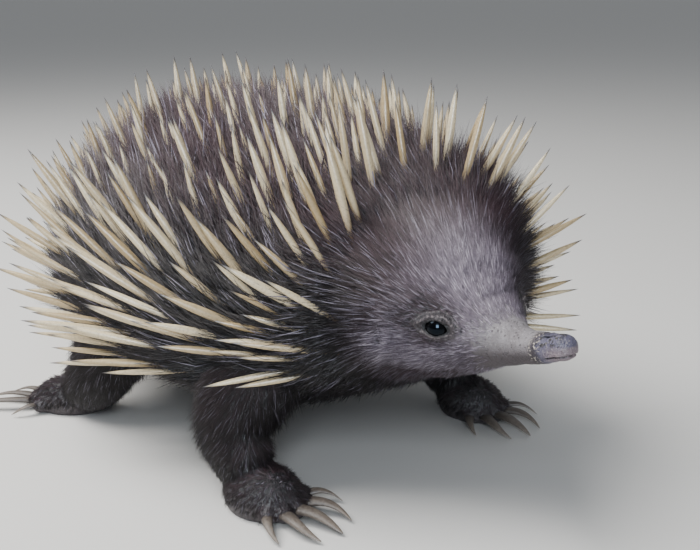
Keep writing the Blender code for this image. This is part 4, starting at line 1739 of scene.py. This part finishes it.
@dataclass(frozen=True)
class SpineCoat:
    """The spines, set by a Geometry Nodes tree on roots spread over the body."""

    spacing: float = 10.2
    flank_spacing: float = 9.2
    collar_spacing: float = 7.8
    flank_length: float = 54.0
    back_length: float = 42.0
    collar_length: float = 45.0
    rump_share: float = 0.76
    girth: float = 1.72
    jitter: float = 0.07
    sink: float = 2.0
    candidates: int = 26000
    profile_sides: int = 6
    collar_front_top: float = 101.0
    collar_front_side: float = 116.0
    lowest_normal: float = -0.62
    tail_length: float = 27.0
    tail_rows: tuple[tuple[float, int], ...] = ((0.62, 7), (0.75, 7), (0.87, 5), (0.95, 3))
    usual_length: float = 44.0
    shortest_at_side: float = 0.78
    shortest_on_top: float = 0.66
    longest: float = 1.1
    length_bias: float = 0.8
    girth_shares: Pair = (0.8, 1.12)
    slimness_shares: Pair = (0.8, 1.1)
    line_samples: int = 12
    floor_gap: float = 1.0

    def profile(self) -> Object:
        """One spine of unit length and girth along Z, with its share along and its own patch.

        Returns:
            The spine, open at the end that is sunk in the skin.
        """
        shares = np.array([0.0, 0.12, 0.25, 0.4, 0.55, 0.7, 0.82, 0.91, 0.97])
        widths = np.array([0.50, 0.62, 0.77, 0.92, 1.0, 0.90, 0.64, 0.36, 0.13])
        turns = turns_round(self.profile_sides)
        rings = np.zeros((len(shares), self.profile_sides, 3))
        rings[..., 0] = widths[:, None] * np.cos(turns)
        rings[..., 1] = widths[:, None] * np.sin(turns)
        rings[..., 2] = shares[:, None]
        points, (sides, _, tip) = closed_loft(rings, None, np.array([0.0, 0.0, 1.0]))
        mesh = bpy.data.meshes.new("spine_profile")
        mesh.from_pydata(points.tolist(), [], sides.tolist() + tip.tolist())
        mesh.shade_smooth()
        carry(mesh, "Along", points[:, 2])
        corners = np.array([loop.vertex_index for loop in mesh.loops])
        around = np.append(np.tile(np.arange(self.profile_sides) / self.profile_sides, len(shares)), 0.5)
        within = np.stack([around[corners], points[corners, 2], np.zeros(len(corners))], axis=1)
        carry_vectors(mesh, "Within", within, "CORNER")
        return linked("spine_profile", mesh)

    def roots(self, rng: np.random.Generator) -> tuple[Array, Array, Array, Array]:
        """Roots spread evenly, closer at the collar.

        Args:
            rng: The source of chance.

        Returns:
            The roots with their normals, places along the body and angles.
        """
        pole = FORM.stations[0].along - FORM.rump_rounding
        along = rng.uniform(pole + 0.5, self.collar_front_side, self.candidates)
        angle = rng.uniform(-math.pi, math.pi, self.candidates)
        places, normals, _ = FORM.frames(along, angle)
        front = blend(self.collar_front_top, self.collar_front_side, np.abs(np.sin(angle)))
        wanted = (normals[:, 2] > self.lowest_normal) & (along < front)
        spacing = blend(self.flank_spacing, self.spacing, share(-0.2, 0.2, normals[:, 2]))
        spacing = blend(spacing, self.collar_spacing, share(70.0, 100.0, along))
        spacing = spacing * rng.uniform(0.9, 1.1, self.candidates)
        taken = np.zeros((0,), int)
        for i in np.flatnonzero(wanted):
            if len(taken) == 0 or np.linalg.norm(places[taken] - places[i], axis=1).min() > spacing[i]:
                taken = np.append(taken, i)
        return places[taken], normals[taken], along[taken], angle[taken]

    def tail_roots(self, rng: np.random.Generator) -> tuple[Array, Array, Array]:
        """The fan of spines on the tail.

        Args:
            rng: The source of chance.

        Returns:
            Their roots, directions and lengths.
        """
        axis = unit(np.subtract(TAIL.tip, TAIL.root))
        left = np.array(LEFTWARD)
        up = np.cross(left, axis)
        roots, aims = [], []
        for place, turns in self.tail_rows:
            for turn in np.radians(np.linspace(-80, 80, turns)):
                outward = up * math.cos(turn) + left * math.sin(turn)
                middle = TAIL.middle(np.array([place]))[0]
                roots.append(middle + outward * TAIL.radius(np.array([place]))[0])
                aims.append(unit(axis * 1.5 + outward + rng.normal(0.0, self.jitter, 3)))
        return np.array(roots), np.array(aims), np.full(len(roots), self.tail_length)

    def tree(self) -> NodeTree:
        """The Geometry Nodes tree that sets one spine on each root.

        Returns:
            The tree.
        """
        tree = bpy.data.node_groups.new("set_spines", "GeometryNodeTree")
        sockets = {"Geometry": "Geometry", "Spine": "Object", "Patch": "Float", "Finish": "Material"}
        for name, kind in sockets.items():
            tree.interface.new_socket(name, in_out="INPUT", socket_type="NodeSocket" + kind)
        tree.interface.new_socket("Geometry", in_out="OUTPUT", socket_type="NodeSocketGeometry")

        def node(kind: str, settings: dict, inputs: dict) -> Node:
            """A node of this tree, made by add_node."""
            return add_node(tree, kind, settings, inputs)

        def named(name: str) -> NodeSocket:
            """A vector that each root carries."""
            settings = {"data_type": "FLOAT_VECTOR"}
            return node("GeometryNodeInputNamedAttribute", settings, {"Name": name}).outputs[0]

        def vector(operation: str, first: object, inputs: dict) -> NodeSocket:
            """The result of one Vector Math node, from its first value and its other inputs."""
            return node("ShaderNodeVectorMath", {"operation": operation}, {0: first, **inputs}).outputs[0]

        start = node("NodeGroupInput", {}, {})
        profile = node("GeometryNodeObjectInfo", {}, {"Object": start.outputs["Spine"]})
        aimed = node("FunctionNodeAlignRotationToVector", {"axis": "Z"}, {"Vector": named("Aim")})
        rolling = {"Rotation": aimed.outputs[0], "Vector": named("Lean")}
        rolled = node("FunctionNodeAlignRotationToVector", {"axis": "X", "pivot_axis": "Z"}, rolling)
        setting = {
            "Points": start.outputs["Geometry"],
            "Instance": profile.outputs["Geometry"],
            "Rotation": rolled.outputs[0],
            "Scale": named("Size"),
        }
        spread = node("GeometryNodeInstanceOnPoints", {}, setting)
        real = node("GeometryNodeRealizeInstances", {}, {0: spread.outputs[0]})
        offset = vector("SUBTRACT", named("Within"), {1: (0.5, 0.5, 0.0)})
        scaled = vector("SCALE", offset, {"Scale": start.outputs["Patch"]})
        placed = vector("ADD", scaled, {1: named("PatchPlace")})
        storing = {"Geometry": real.outputs[0], "Name": UV_NAME, "Value": placed}
        stored = node("GeometryNodeStoreNamedAttribute", {"data_type": "FLOAT2", "domain": "CORNER"}, storing)
        wearing = {"Geometry": stored.outputs[0], "Material": start.outputs["Finish"]}
        paler_tone = node("GeometryNodeSetMaterial", {}, wearing)
        node("NodeGroupOutput", {}, {"Geometry": paler_tone.outputs[0]})
        return tree

    def build(self, material: Material) -> Object:
        """All spines as one piece.

        Args:
            material: Their finish.

        Returns:
            The piece.
        """
        rng = np.random.default_rng(SEED)
        roots, normals, along, angle = self.roots(rng)
        aims = LIE.directions(normals, along, rng.normal(0.0, self.jitter, normals.shape))
        lengths = blend(self.flank_length, self.back_length, share(0.0, 0.8, normals[:, 2]))
        lengths = blend(lengths, self.collar_length, share(40.0, 100.0, along))
        lengths = lengths * blend(1.0, self.rump_share, share(-15.0, -85.0, along))
        on_top = share(0.1, 0.6, normals[:, 2]) * share(80.0, 50.0, along)
        shortest = blend(self.shortest_at_side, self.shortest_on_top, on_top)
        lengths = lengths * blend(shortest, self.longest, rng.random(len(lengths)) ** self.length_bias)
        steps = np.linspace(0, 1, self.line_samples)[:, None]
        lines = roots[:, None] + aims[:, None] * (lengths[:, None, None] * steps)
        over_floor = lines[..., 2].min(axis=1) > self.girth + self.floor_gap
        free = (limb_clearance(lines) > self.girth) & over_floor
        tail_roots, tail_aims, tail_lengths = self.tail_roots(rng)
        tail_along, tail_angle = FORM.locate(tail_roots)
        roots = np.concatenate([roots[free], tail_roots])
        aims = np.concatenate([aims[free], tail_aims])
        lengths = np.concatenate([lengths[free], tail_lengths])
        along, angle = np.append(along[free], tail_along), np.append(angle[free], tail_angle)
        patches = patch_places(roots, along, angle, np.arange(len(roots)) >= free.sum())
        slimness = np.clip(lengths / self.usual_length, *self.slimness_shares)
        girths = self.girth * rng.uniform(*self.girth_shares, len(roots)) * slimness
        vectors = {
            "Aim": aims,
            "Lean": np.tile([0.0, 0.0, 1.0], (len(roots), 1)),
            "Size": np.stack([girths, girths, lengths + self.sink], axis=1) * MM,
            "PatchPlace": np.pad(patches, ((0, 0), (0, 1))),
        }
        return self.set_on(roots - aims * self.sink, vectors, rng.random(len(roots)), material)

    def set_on(self, starts: Array, vectors: dict[str, Array], tones: Array, material: Material) -> Object:
        """Runs the tree on the roots and keeps its result as a plain mesh.

        Args:
            starts: Where the spines start.
            vectors: Their directions, sizes and places on the map.
            tones: How pale each of them is.
            material: Their finish.

        Returns:
            The piece.
        """
        mesh = bpy.data.meshes.new("spines")
        mesh.vertices.add(len(starts))
        mesh.vertices.foreach_set("co", ((starts + SHIFT) * MM).astype(np.float32).ravel())
        for name, values in vectors.items():
            carry_vectors(mesh, name, values)
        carry(mesh, "Tone", tones)
        piece = add_piece("spines", mesh, material)
        profile = self.profile()
        modifier = piece.modifiers.new("set", "NODES")
        modifier.node_group = self.tree()
        sockets = modifier.node_group.interface.items_tree
        keys = {socket.name: socket.identifier for socket in sockets if socket.in_out == "INPUT"}
        modifier[keys["Spine"]] = profile
        modifier[keys["Patch"]] = PATCH_SIZE
        modifier[keys["Finish"]] = material
        piece.data = evaluated(piece)
        bpy.data.objects.remove(profile)
        for name in (*vectors, "Within"):
            if name in piece.data.attributes:
                piece.data.attributes.remove(piece.data.attributes[name])
        return dress(piece, [])


@dataclass(frozen=True)
class Tufts:
    """Roots of tufts with all that shapes their strands, one row each."""

    place: Array
    normal: Array
    along: Array
    angle: Array
    on_limb: Array
    start: Array
    end: Array
    length: Array
    width: Array
    radius: Array


@dataclass(frozen=True)
class FurZone:
    """A stretch of the coat that makes pieces of its own, with the make of its tufts."""

    name: str
    first: float
    last: float
    on_limb: bool
    strands: int
    bends: bool
    spread: float
    clumping: float

    @property
    def strand_triangles(self) -> int:
        """How many triangles one strand has."""
        return 9 if self.bends else 3


ZONES = (
    FurZone("fur_rump", -120.0, -28.0, False, 6, True, 1.6, 0.45),
    FurZone("fur_back", -28.0, 34.0, False, 6, True, 1.6, 0.45),
    FurZone("fur_shoulder", 34.0, 86.0, False, 6, True, 1.6, 0.45),
    FurZone("fur_collar", 86.0, 113.0, False, 6, True, 1.3, 0.4),
    FurZone("fur_crown", 113.0, 132.0, False, 5, False, 0.9, 0.35),
    FurZone("fur_face", 132.0, 166.0, False, 5, False, 0.6, 0.3),
    FurZone("fur_limbs", -200.0, 200.0, True, 6, False, 1.0, 0.4),
)


Row = tuple[float, ...]


@dataclass(frozen=True)
class Growth:
    """How the coat changes along the body: one value at each place, with smooth changes between."""

    along: Row = (-102.0, -30.0, 82.0, 96.0, 108.0, 116.0, 124.0, 132.0, 140.0, 148.0, 156.0, 164.0)
    longest: Row = (16.0, 31.0, 32.0, 25.0, 19.5, 14.5, 10.5, 8.0, 6.2, 5.0, 4.0, 2.8)
    lift: Row = (58.0, 58.0, 56.0, 53.0, 50.0, 45.0, 34.0, 22.0, 15.0, 13.0, 12.0, 11.0)
    per_square_mm: Row = (1.3, 1.1, 1.15, 1.8, 3.0, 4.4, 6.2, 8.0, 9.5, 10.5, 10.5, 10.0)
    width: Row = (0.44, 0.46, 0.44, 0.38, 0.34, 0.32, 0.29, 0.26, 0.24, 0.23, 0.21, 0.17)

    def read(self, name: str, along: Array) -> Array:
        """One of the rows at places along the body."""
        return eased(np.array(self.along), np.array(getattr(self, name)), along)


GROWTH = Growth()


@dataclass(frozen=True)
class FurCoat:
    """The fur: strands in tufts that follow the lie of the coat."""

    surface: Surface
    back_length: float = 34.0
    flank_length: float = 28.0
    belly_length: float = 10.0
    leg_length: float = 10.0
    foot_length: float = 3.4
    limb_per_square_mm: float = 2.6
    limb_width: float = 0.34
    guard_share: float = 0.042
    guard_girth: float = 1.6
    guard_length: float = 1.25
    # Tone of downward-facing fur under the painted light of sunlit.
    low_tone: float = 0.06
    ruff_lift: float = 34.0
    greatest_lift: float = 78.0
    spiny_jitter: float = 0.11
    laid_jitter: float = 0.13
    belly_jitter: float = 0.15
    limb_jitter: float = 0.16
    belly_lift: float = 0.35
    limb_lift: float = 0.32
    start_lift: float = 0.18
    end_flattening: float = 0.55
    splay: float = 0.12
    guard_splay: float = 0.4
    root_girth: float = 0.9
    patch_columns: Triple = (0.15, 0.5, 0.85)
    root_depth: float = 0.8
    floor_gap: float = 0.8

    def lengths(self, rows: dict[str, Array]) -> Array:
        """How long the fur is at each root.

        Args:
            rows: The roots with their normals and places along the body.

        Returns:
            Lengths in millimetres.
        """
        normal, along, place, on_limb = (rows[key] for key in ("normal", "along", "place", "on_limb"))
        body = blend(self.flank_length, self.back_length, share(0.1, 0.8, normal[:, 2]))
        body = blend(body, self.belly_length, share(-0.45, -0.8, normal[:, 2]))
        longest = GROWTH.read("longest", along) * blend(1.0, 0.6, share(-0.3, -0.8, normal[:, 2]))
        longest = longest * (1 + 0.5 * self.far_ruff(along, normal))
        limb = blend(self.foot_length, self.leg_length, share(12.0, 34.0, place[:, 2]))
        return np.where(on_limb, limb, np.minimum(body, longest))

    def far_ruff(self, along: Array, normal: Array) -> Array:
        """1 in the ruff behind the left cheek, where the turned head spreads the fur."""
        return share(0.05, 0.5, normal[:, 1]) * share(88.0, 100.0, along) * share(134.0, 120.0, along)

    def lie(self, rows: dict[str, Array], rng: np.random.Generator) -> tuple[Array, Array]:
        """The direction of each tuft at its root and at its tip.

        Args:
            rows: The roots with their normals and places along the body.
            rng: The source of chance.

        Returns:
            Two tables of unit vectors.
        """
        normal, along, place, on_limb = (rows[key] for key in ("normal", "along", "place", "on_limb"))
        spiny = LIE.directions(normal, along, rng.normal(0.0, self.spiny_jitter, normal.shape))
        _, forward, _, _ = FORM.axes(along)
        back = unit(-forward + normal * dots(forward, normal)[:, None])
        swept = back + rng.normal(0.0, self.laid_jitter, normal.shape)
        degrees = GROWTH.read("lift", along) + self.ruff_lift * self.far_ruff(along, normal)
        lift = np.radians(np.minimum(degrees, self.greatest_lift))[:, None]
        laid = unit(unit(swept) * np.cos(lift) + normal * np.sin(lift))
        body = unit(blend(spiny, laid, share(88.0, 112.0, along)[:, None]))
        belly = unit(back + normal * self.belly_lift + rng.normal(0.0, self.belly_jitter, normal.shape))
        body = unit(blend(body, belly, share(-0.4, -0.75, normal[:, 2])[:, None]))
        on_tail = (place[:, :1] < TAIL.root[0]) & (place[:, 2:] > TAIL.tip[2] - TAIL.root_radius)
        down = np.where(on_tail, [-1.0, 0.0, -0.1], [-0.3, 0.0, -1.0])
        down = down + rng.normal(0.0, self.limb_jitter, normal.shape)
        down = unit(down - normal * dots(down, normal)[:, None])
        limb = unit(down + normal * self.limb_lift)
        aims = np.where(on_limb[:, None], limb, body)
        flat = unit(aims - normal * dots(aims, normal)[:, None] * self.end_flattening)
        return unit(aims + normal * self.start_lift), flat

    def draw(self, zone: FurZone, rng: np.random.Generator) -> Tufts:
        """Draws a zone's tufts evenly over its skin.

        Args:
            zone: The zone.
            rng: The source of chance.

        Returns:
            The tufts.
        """
        surface = self.surface
        along, _ = FORM.locate(surface.middles)
        within = (surface.on_limb == zone.on_limb) & (along >= zone.first) & (along < zone.last)
        per_square_mm = self.limb_per_square_mm if zone.on_limb else GROWTH.read("per_square_mm", along)
        weights = surface.areas * within * per_square_mm / zone.strands
        weights = weights * self.wanted(surface, along)
        total = np.cumsum(weights)
        count = int(total[-1])
        chosen = np.searchsorted(total, (np.arange(count) + rng.random(count)) * (total[-1] / count))
        chosen = np.clip(chosen, 0, len(weights) - 1)
        shares = rng.dirichlet((1.0, 1.0, 1.0), count)[:, :, None]
        place = (surface.corners[chosen] * shares).sum(axis=1)
        normal = unit((surface.corner_normals[chosen] * shares).sum(axis=1))
        on_limb = surface.on_limb[chosen]
        place_along, angle = FORM.locate(place)
        rows = {"normal": normal, "along": place_along, "place": place, "on_limb": on_limb}
        start, end = self.lie(rows, rng)
        length = self.lengths(rows) * rng.uniform(0.75, 1.12, count)
        near_eye = np.min([eye.opening(place)[0] for eye in EYES], axis=0)
        length = length * blend(0.4, 1.0, share(2.0, 4.2, near_eye))
        width = np.full(count, self.limb_width) if zone.on_limb else GROWTH.read("width", place_along)
        radius = np.minimum(zone.spread, length * 0.3)
        return Tufts(place, normal, place_along, angle, on_limb, start, end, length, width, radius)

    def wanted(self, surface: Surface, along: Array) -> Array:
        """Where fur grows: not on the bare skin, the soles or inside the ears, and thinner on the belly.

        Args:
            surface: The skin.
            along: Places along the body of its triangles.

        Returns:
            Shares from 0 to 1.
        """
        bare = MARKINGS.hairless(surface.middles, along)
        ear = np.min([EAR.reach(surface.middles, side) for side in Side], axis=0)
        soles = share(3.0, 7.0, surface.middles[:, 2])
        belly = blend(1.0, 0.75, share(-0.5, -0.8, surface.normals[:, 2]))
        return np.clip(1 - bare * 1.25, 0, 1) ** 1.5 * share(0.45, 0.9, ear) * soles * belly

    def strands(self, zone: FurZone, tufts: Tufts, rng: np.random.Generator) -> dict[str, Array]:
        """The strands of a zone's tufts, one row each.

        Args:
            zone: The zone.
            tufts: Its tufts.
            rng: The source of chance.

        Returns:
            Arrays of roots, middles, tips, sideways directions, widths, tones and places on the map.
        """
        many = zone.strands
        tuft = np.repeat(np.arange(len(tufts.place)), many)
        count = len(tuft)
        normal, start, end = tufts.normal[tuft], tufts.start[tuft], tufts.end[tuft]
        across = unit(np.cross(start, normal) + 1e-6)
        reach = tufts.radius[tuft] * np.sqrt(rng.random(count))
        turn = rng.uniform(0, math.tau, count)
        beside = np.cross(normal, across)
        offset = across * (reach * np.cos(turn))[:, None] + beside * (reach * np.sin(turn))[:, None]
        guard = rng.random(count) < self.guards(tufts)[tuft]
        longer = blend(1.0, self.guard_length, share(80.0, 110.0, tufts.along))[tuft]
        length = tufts.length[tuft] * rng.uniform(0.7, 1.1, count) * np.where(guard, longer, 1.0)
        splay = rng.normal(0.0, self.splay, (count, 3)) * np.where(guard, self.guard_splay, 1.0)[:, None]
        root = tufts.place[tuft] + offset
        middle = root + unit(start + splay) * (length * 0.5)[:, None] - offset * zone.clumping * 0.5
        tip = middle + unit(end + splay * 1.6) * (length * 0.5)[:, None] - offset * zone.clumping * 0.5
        for points in (tip, middle):
            points[:, 2] = np.maximum(points[:, 2], self.floor_gap)
        girth = np.where(guard, self.guard_girth, 1.0)
        width = tufts.width[tuft] * rng.uniform(0.75, 1.2, count) * girth
        tone = rng.random(count) * 0.45 + rng.random(len(tufts.place))[tuft] * 0.55
        return {
            "root": root - start * self.root_depth,
            "middle": middle,
            "tip": tip,
            "across": across,
            "over": np.cross(across, start),
            "width": width,
            # random tone times the painted light of sunlit
            "tone": tone * self.sunlit(tufts)[tuft],
            "guard": guard * rng.uniform(0.45, 1.0, count),
            "tuft": tuft,
            "column": np.tile(np.arange(many), len(tufts.place)),
        }

    def guards(self, tufts: Tufts) -> Array:
        """How many of each tuft's strands are guard hairs: more on the cheeks and fewer on the crown.

        Args:
            tufts: The tufts.

        Returns:
            Shares from 0 to 1.
        """
        along, up = tufts.along, tufts.normal[:, 2]
        cheek = share(116.0, 130.0, along) * share(0.5, 0.0, up)
        crown = share(92.0, 104.0, along) * share(130.0, 118.0, along) * share(0.2, 0.6, up)
        return self.guard_share * (1 + 2.5 * cheek - 0.6 * crown)

    def sunlit(self, tufts: Tufts) -> Array:
        """How brown the coat is, with painted light: browner where the fur faces up, nearly black low on the
        body.
        """
        body = blend(self.low_tone, 1.0, share(0.0, 0.8, tufts.normal[:, 2]))
        return blend(body, 1.0, share(116.0, 132.0, tufts.along) * ~tufts.on_limb)

    def mesh(self, zone: FurZone, name: str, tufts: Tufts, rows: dict[str, Array]) -> Mesh:
        """One mesh of three-sided, tapering strands, open only at their ends in the skin.

        Args:
            zone: The zone.
            name: The mesh's name.
            tufts: Its tufts.
            rows: Its strands.

        Returns:
            The mesh.
        """
        count = len(rows["root"])
        half = rows["width"][:, None] * 0.5
        ring = np.stack([rows["across"], -rows["across"], rows["over"] * 0.8], axis=1)
        root, middle, tip = (rows[key][:, None] for key in ("root", "middle", "tip"))
        low = root + ring * half[:, None] * (self.root_girth if zone.bends else 1.0)
        blocks = [low, middle + ring * half[:, None], tip] if zone.bends else [low, tip]
        points, rings = np.concatenate(blocks, axis=1), len(blocks) - 1
        tables = [np.array([(0, 1, 3), (1, 2, 3), (2, 0, 3)]) + 3 * (rings - 1)]
        if zone.bends:
            tables.insert(0, np.array([(0, 1, 4, 3), (1, 2, 5, 4), (2, 0, 3, 5)]))
        heights = np.append(np.repeat(np.arange(rings) / 2, 3), 1.0)
        columns = np.append(np.tile(self.patch_columns, rings), 0.5)
        many = points.shape[1]
        first = np.arange(count)[:, None, None] * many
        faces = [(first + table).reshape(-1, table.shape[1]) for table in tables]
        mesh = mesh_of(name, points.reshape(-1, 3), faces)
        tuft = rows["tuft"]
        pale = self.paleness(tufts, tuft, rows["tone"])
        carry(mesh, "Along", np.tile(heights, count))
        for mark, values in (("Tone", rows["tone"]), ("Guard", rows["guard"]), ("Pale", pale)):
            carry(mesh, mark, np.repeat(values, many))
        patches = patch_places(tufts.place, tufts.along, tufts.angle, tufts.on_limb)[tuft]
        u = (rows["column"][:, None] + columns) / zone.strands - 0.5
        v = np.tile(heights - 0.5, (count, 1))
        uv = (patches[:, None] + PATCH_SIZE * np.stack([u, v], axis=-1)).reshape(-1, 2)
        corners = np.concatenate([table.ravel() for table in faces])
        mesh.uv_layers.new(name=UV_NAME).uv.foreach_set("vector", uv[corners].astype(np.float32).ravel())
        return mesh

    def paleness(self, tufts: Tufts, tuft: Array, tone: Array) -> Array:
        """The markings at each strand's root, with a ragged edge."""
        pale = MARKINGS.pale(tufts.along, tufts.angle)[tuft] * ~tufts.on_limb[tuft]
        return np.clip(pale + (tone - 0.5) * 0.3 * (pale > 0.02), 0, 1)

    def build(self, material: Material) -> list[Object]:
        """Every zone's fur, in pieces under the limit on triangles.

        Args:
            material: The fur's finish.

        Returns:
            The pieces.
        """
        pieces = []
        for number, zone in enumerate(ZONES):
            rng = np.random.default_rng((SEED, number))
            tufts = self.draw(zone, rng)
            rows = self.strands(zone, tufts, rng)
            total = len(rows["root"])
            parts = max(1, math.ceil(total * zone.strand_triangles / PIECE_TRIANGLES))
            limits = np.linspace(0, total, parts + 1).astype(int)
            for part, (start, end) in enumerate(zip(limits, limits[1:]), 1):
                name = f"{zone.name}_{part}"
                some = {key: values[start:end] for key, values in rows.items()}
                piece = add_piece(name, self.mesh(zone, name, tufts, some), material)
                pieces.append(dress(piece, []))
        return pieces


@dataclass(frozen=True)
class Lamp:
    """A soft square light that faces the animal. One that isn't diffuse only shines in glossy surfaces."""

    name: str
    place: Triple
    size: float
    watts: float
    colour: Colour
    diffuse: bool = True


@dataclass(frozen=True)
class Studio:
    """The floor, the lights and the camera at the photograph's angle."""

    azimuth: float = 45.0
    elevation: float = 16.0
    distance: float = 393.0
    to_right: float = 34.2
    above: float = 20.4
    focal_pixels: float = 1000.0
    picture_width: float = 700.0
    sensor_width: float = 36.0
    clip_start: float = 0.01
    aim: Triple = (0.0, 0.0, 0.06)
    lamps: tuple[Lamp, ...] = (
        Lamp("sky", (-0.45, -0.5, 1.15), 0.9, 31.0, (1.0, 0.985, 0.96)),
        Lamp("window", (0.75, -0.72, 0.72), 0.42, 5.0, (0.86, 0.93, 1.0)),
        Lamp("glint", (0.66, -0.62, 0.40), 0.34, 14.0, (0.80, 0.90, 1.0), False),
    )
    room_colour: Colour = (0.86, 0.90, 0.95)
    room_strength: float = 0.32
    floor_size: float = 60.0
    floor_colour: Colour = (0.72, 0.71, 0.69)
    floor_roughness: float = 0.85

    def camera(self) -> None:
        """The camera, placed from the right eye."""
        azimuth, elevation = math.radians(self.azimuth), math.radians(self.elevation)
        level = math.cos(elevation)
        back = Vector((math.sin(azimuth) * level, -math.cos(azimuth) * level, math.sin(elevation)))
        turned = back.to_track_quat("Z", "Y")
        right, up = turned @ Vector((1.0, 0.0, 0.0)), turned @ Vector((0.0, 1.0, 0.0))
        centre = Vector(EYES[1].centre() + SHIFT)
        data = bpy.data.cameras.new("camera")
        data.sensor_width = self.sensor_width
        data.lens = self.focal_pixels / self.picture_width * self.sensor_width
        data.clip_start = self.clip_start
        camera = linked("camera", data)
        camera.location = (centre - right * self.to_right + up * self.above + back * self.distance) * MM
        camera.rotation_mode = "QUATERNION"
        camera.rotation_quaternion = turned
        bpy.context.scene.camera = camera

    def light(self, lamp: Lamp) -> None:
        """Hangs up one light.

        Args:
            lamp: Its place, size, power and colour.
        """
        data = bpy.data.lights.new(lamp.name, "AREA")
        data.size = lamp.size
        data.energy = lamp.watts
        data.color = lamp.colour
        light = linked(lamp.name, data)
        light.location = lamp.place
        light.rotation_mode = "QUATERNION"
        light.rotation_quaternion = (Vector(self.aim) - Vector(lamp.place)).to_track_quat("-Z", "Y")
        light.visible_diffuse = lamp.diffuse

    def build(self) -> None:
        """Sets up the whole studio."""
        self.camera()
        for lamp in self.lamps:
            self.light(lamp)
        world = bpy.data.worlds.new("room")
        world.use_nodes = True
        backdrop = world.node_tree.nodes["Background"].inputs
        backdrop["Color"].default_value = (*self.room_colour, 1.0)
        backdrop["Strength"].default_value = self.room_strength
        bpy.context.scene.world = world
        shape = bmesh.new()
        bmesh.ops.create_grid(shape, x_segments=1, y_segments=1, size=self.floor_size)
        finish = Shading("floor").finish(Base_Color=self.floor_colour, Roughness=self.floor_roughness)
        add_piece("floor", mesh_from(shape, "floor"), finish)


def main() -> None:
    """Builds the pieces in order."""
    logging.basicConfig(level=logging.INFO, format="%(name)s: %(message)s")
    Studio().build()
    _, surface = Skin().build()
    eye_material, claw_material = EyeFinish().build(), ClawFinish().build()
    for eye in EYES:
        Eyeball().build(eye, eye_material)
    for _, foot in LIMBS:
        for side in Side:
            Claws(foot, side).build(claw_material)
    SpineCoat().build(SpineFinish().build())
    FurCoat(surface).build(FurFinish().build())


if __name__ == "__main__":
    main()
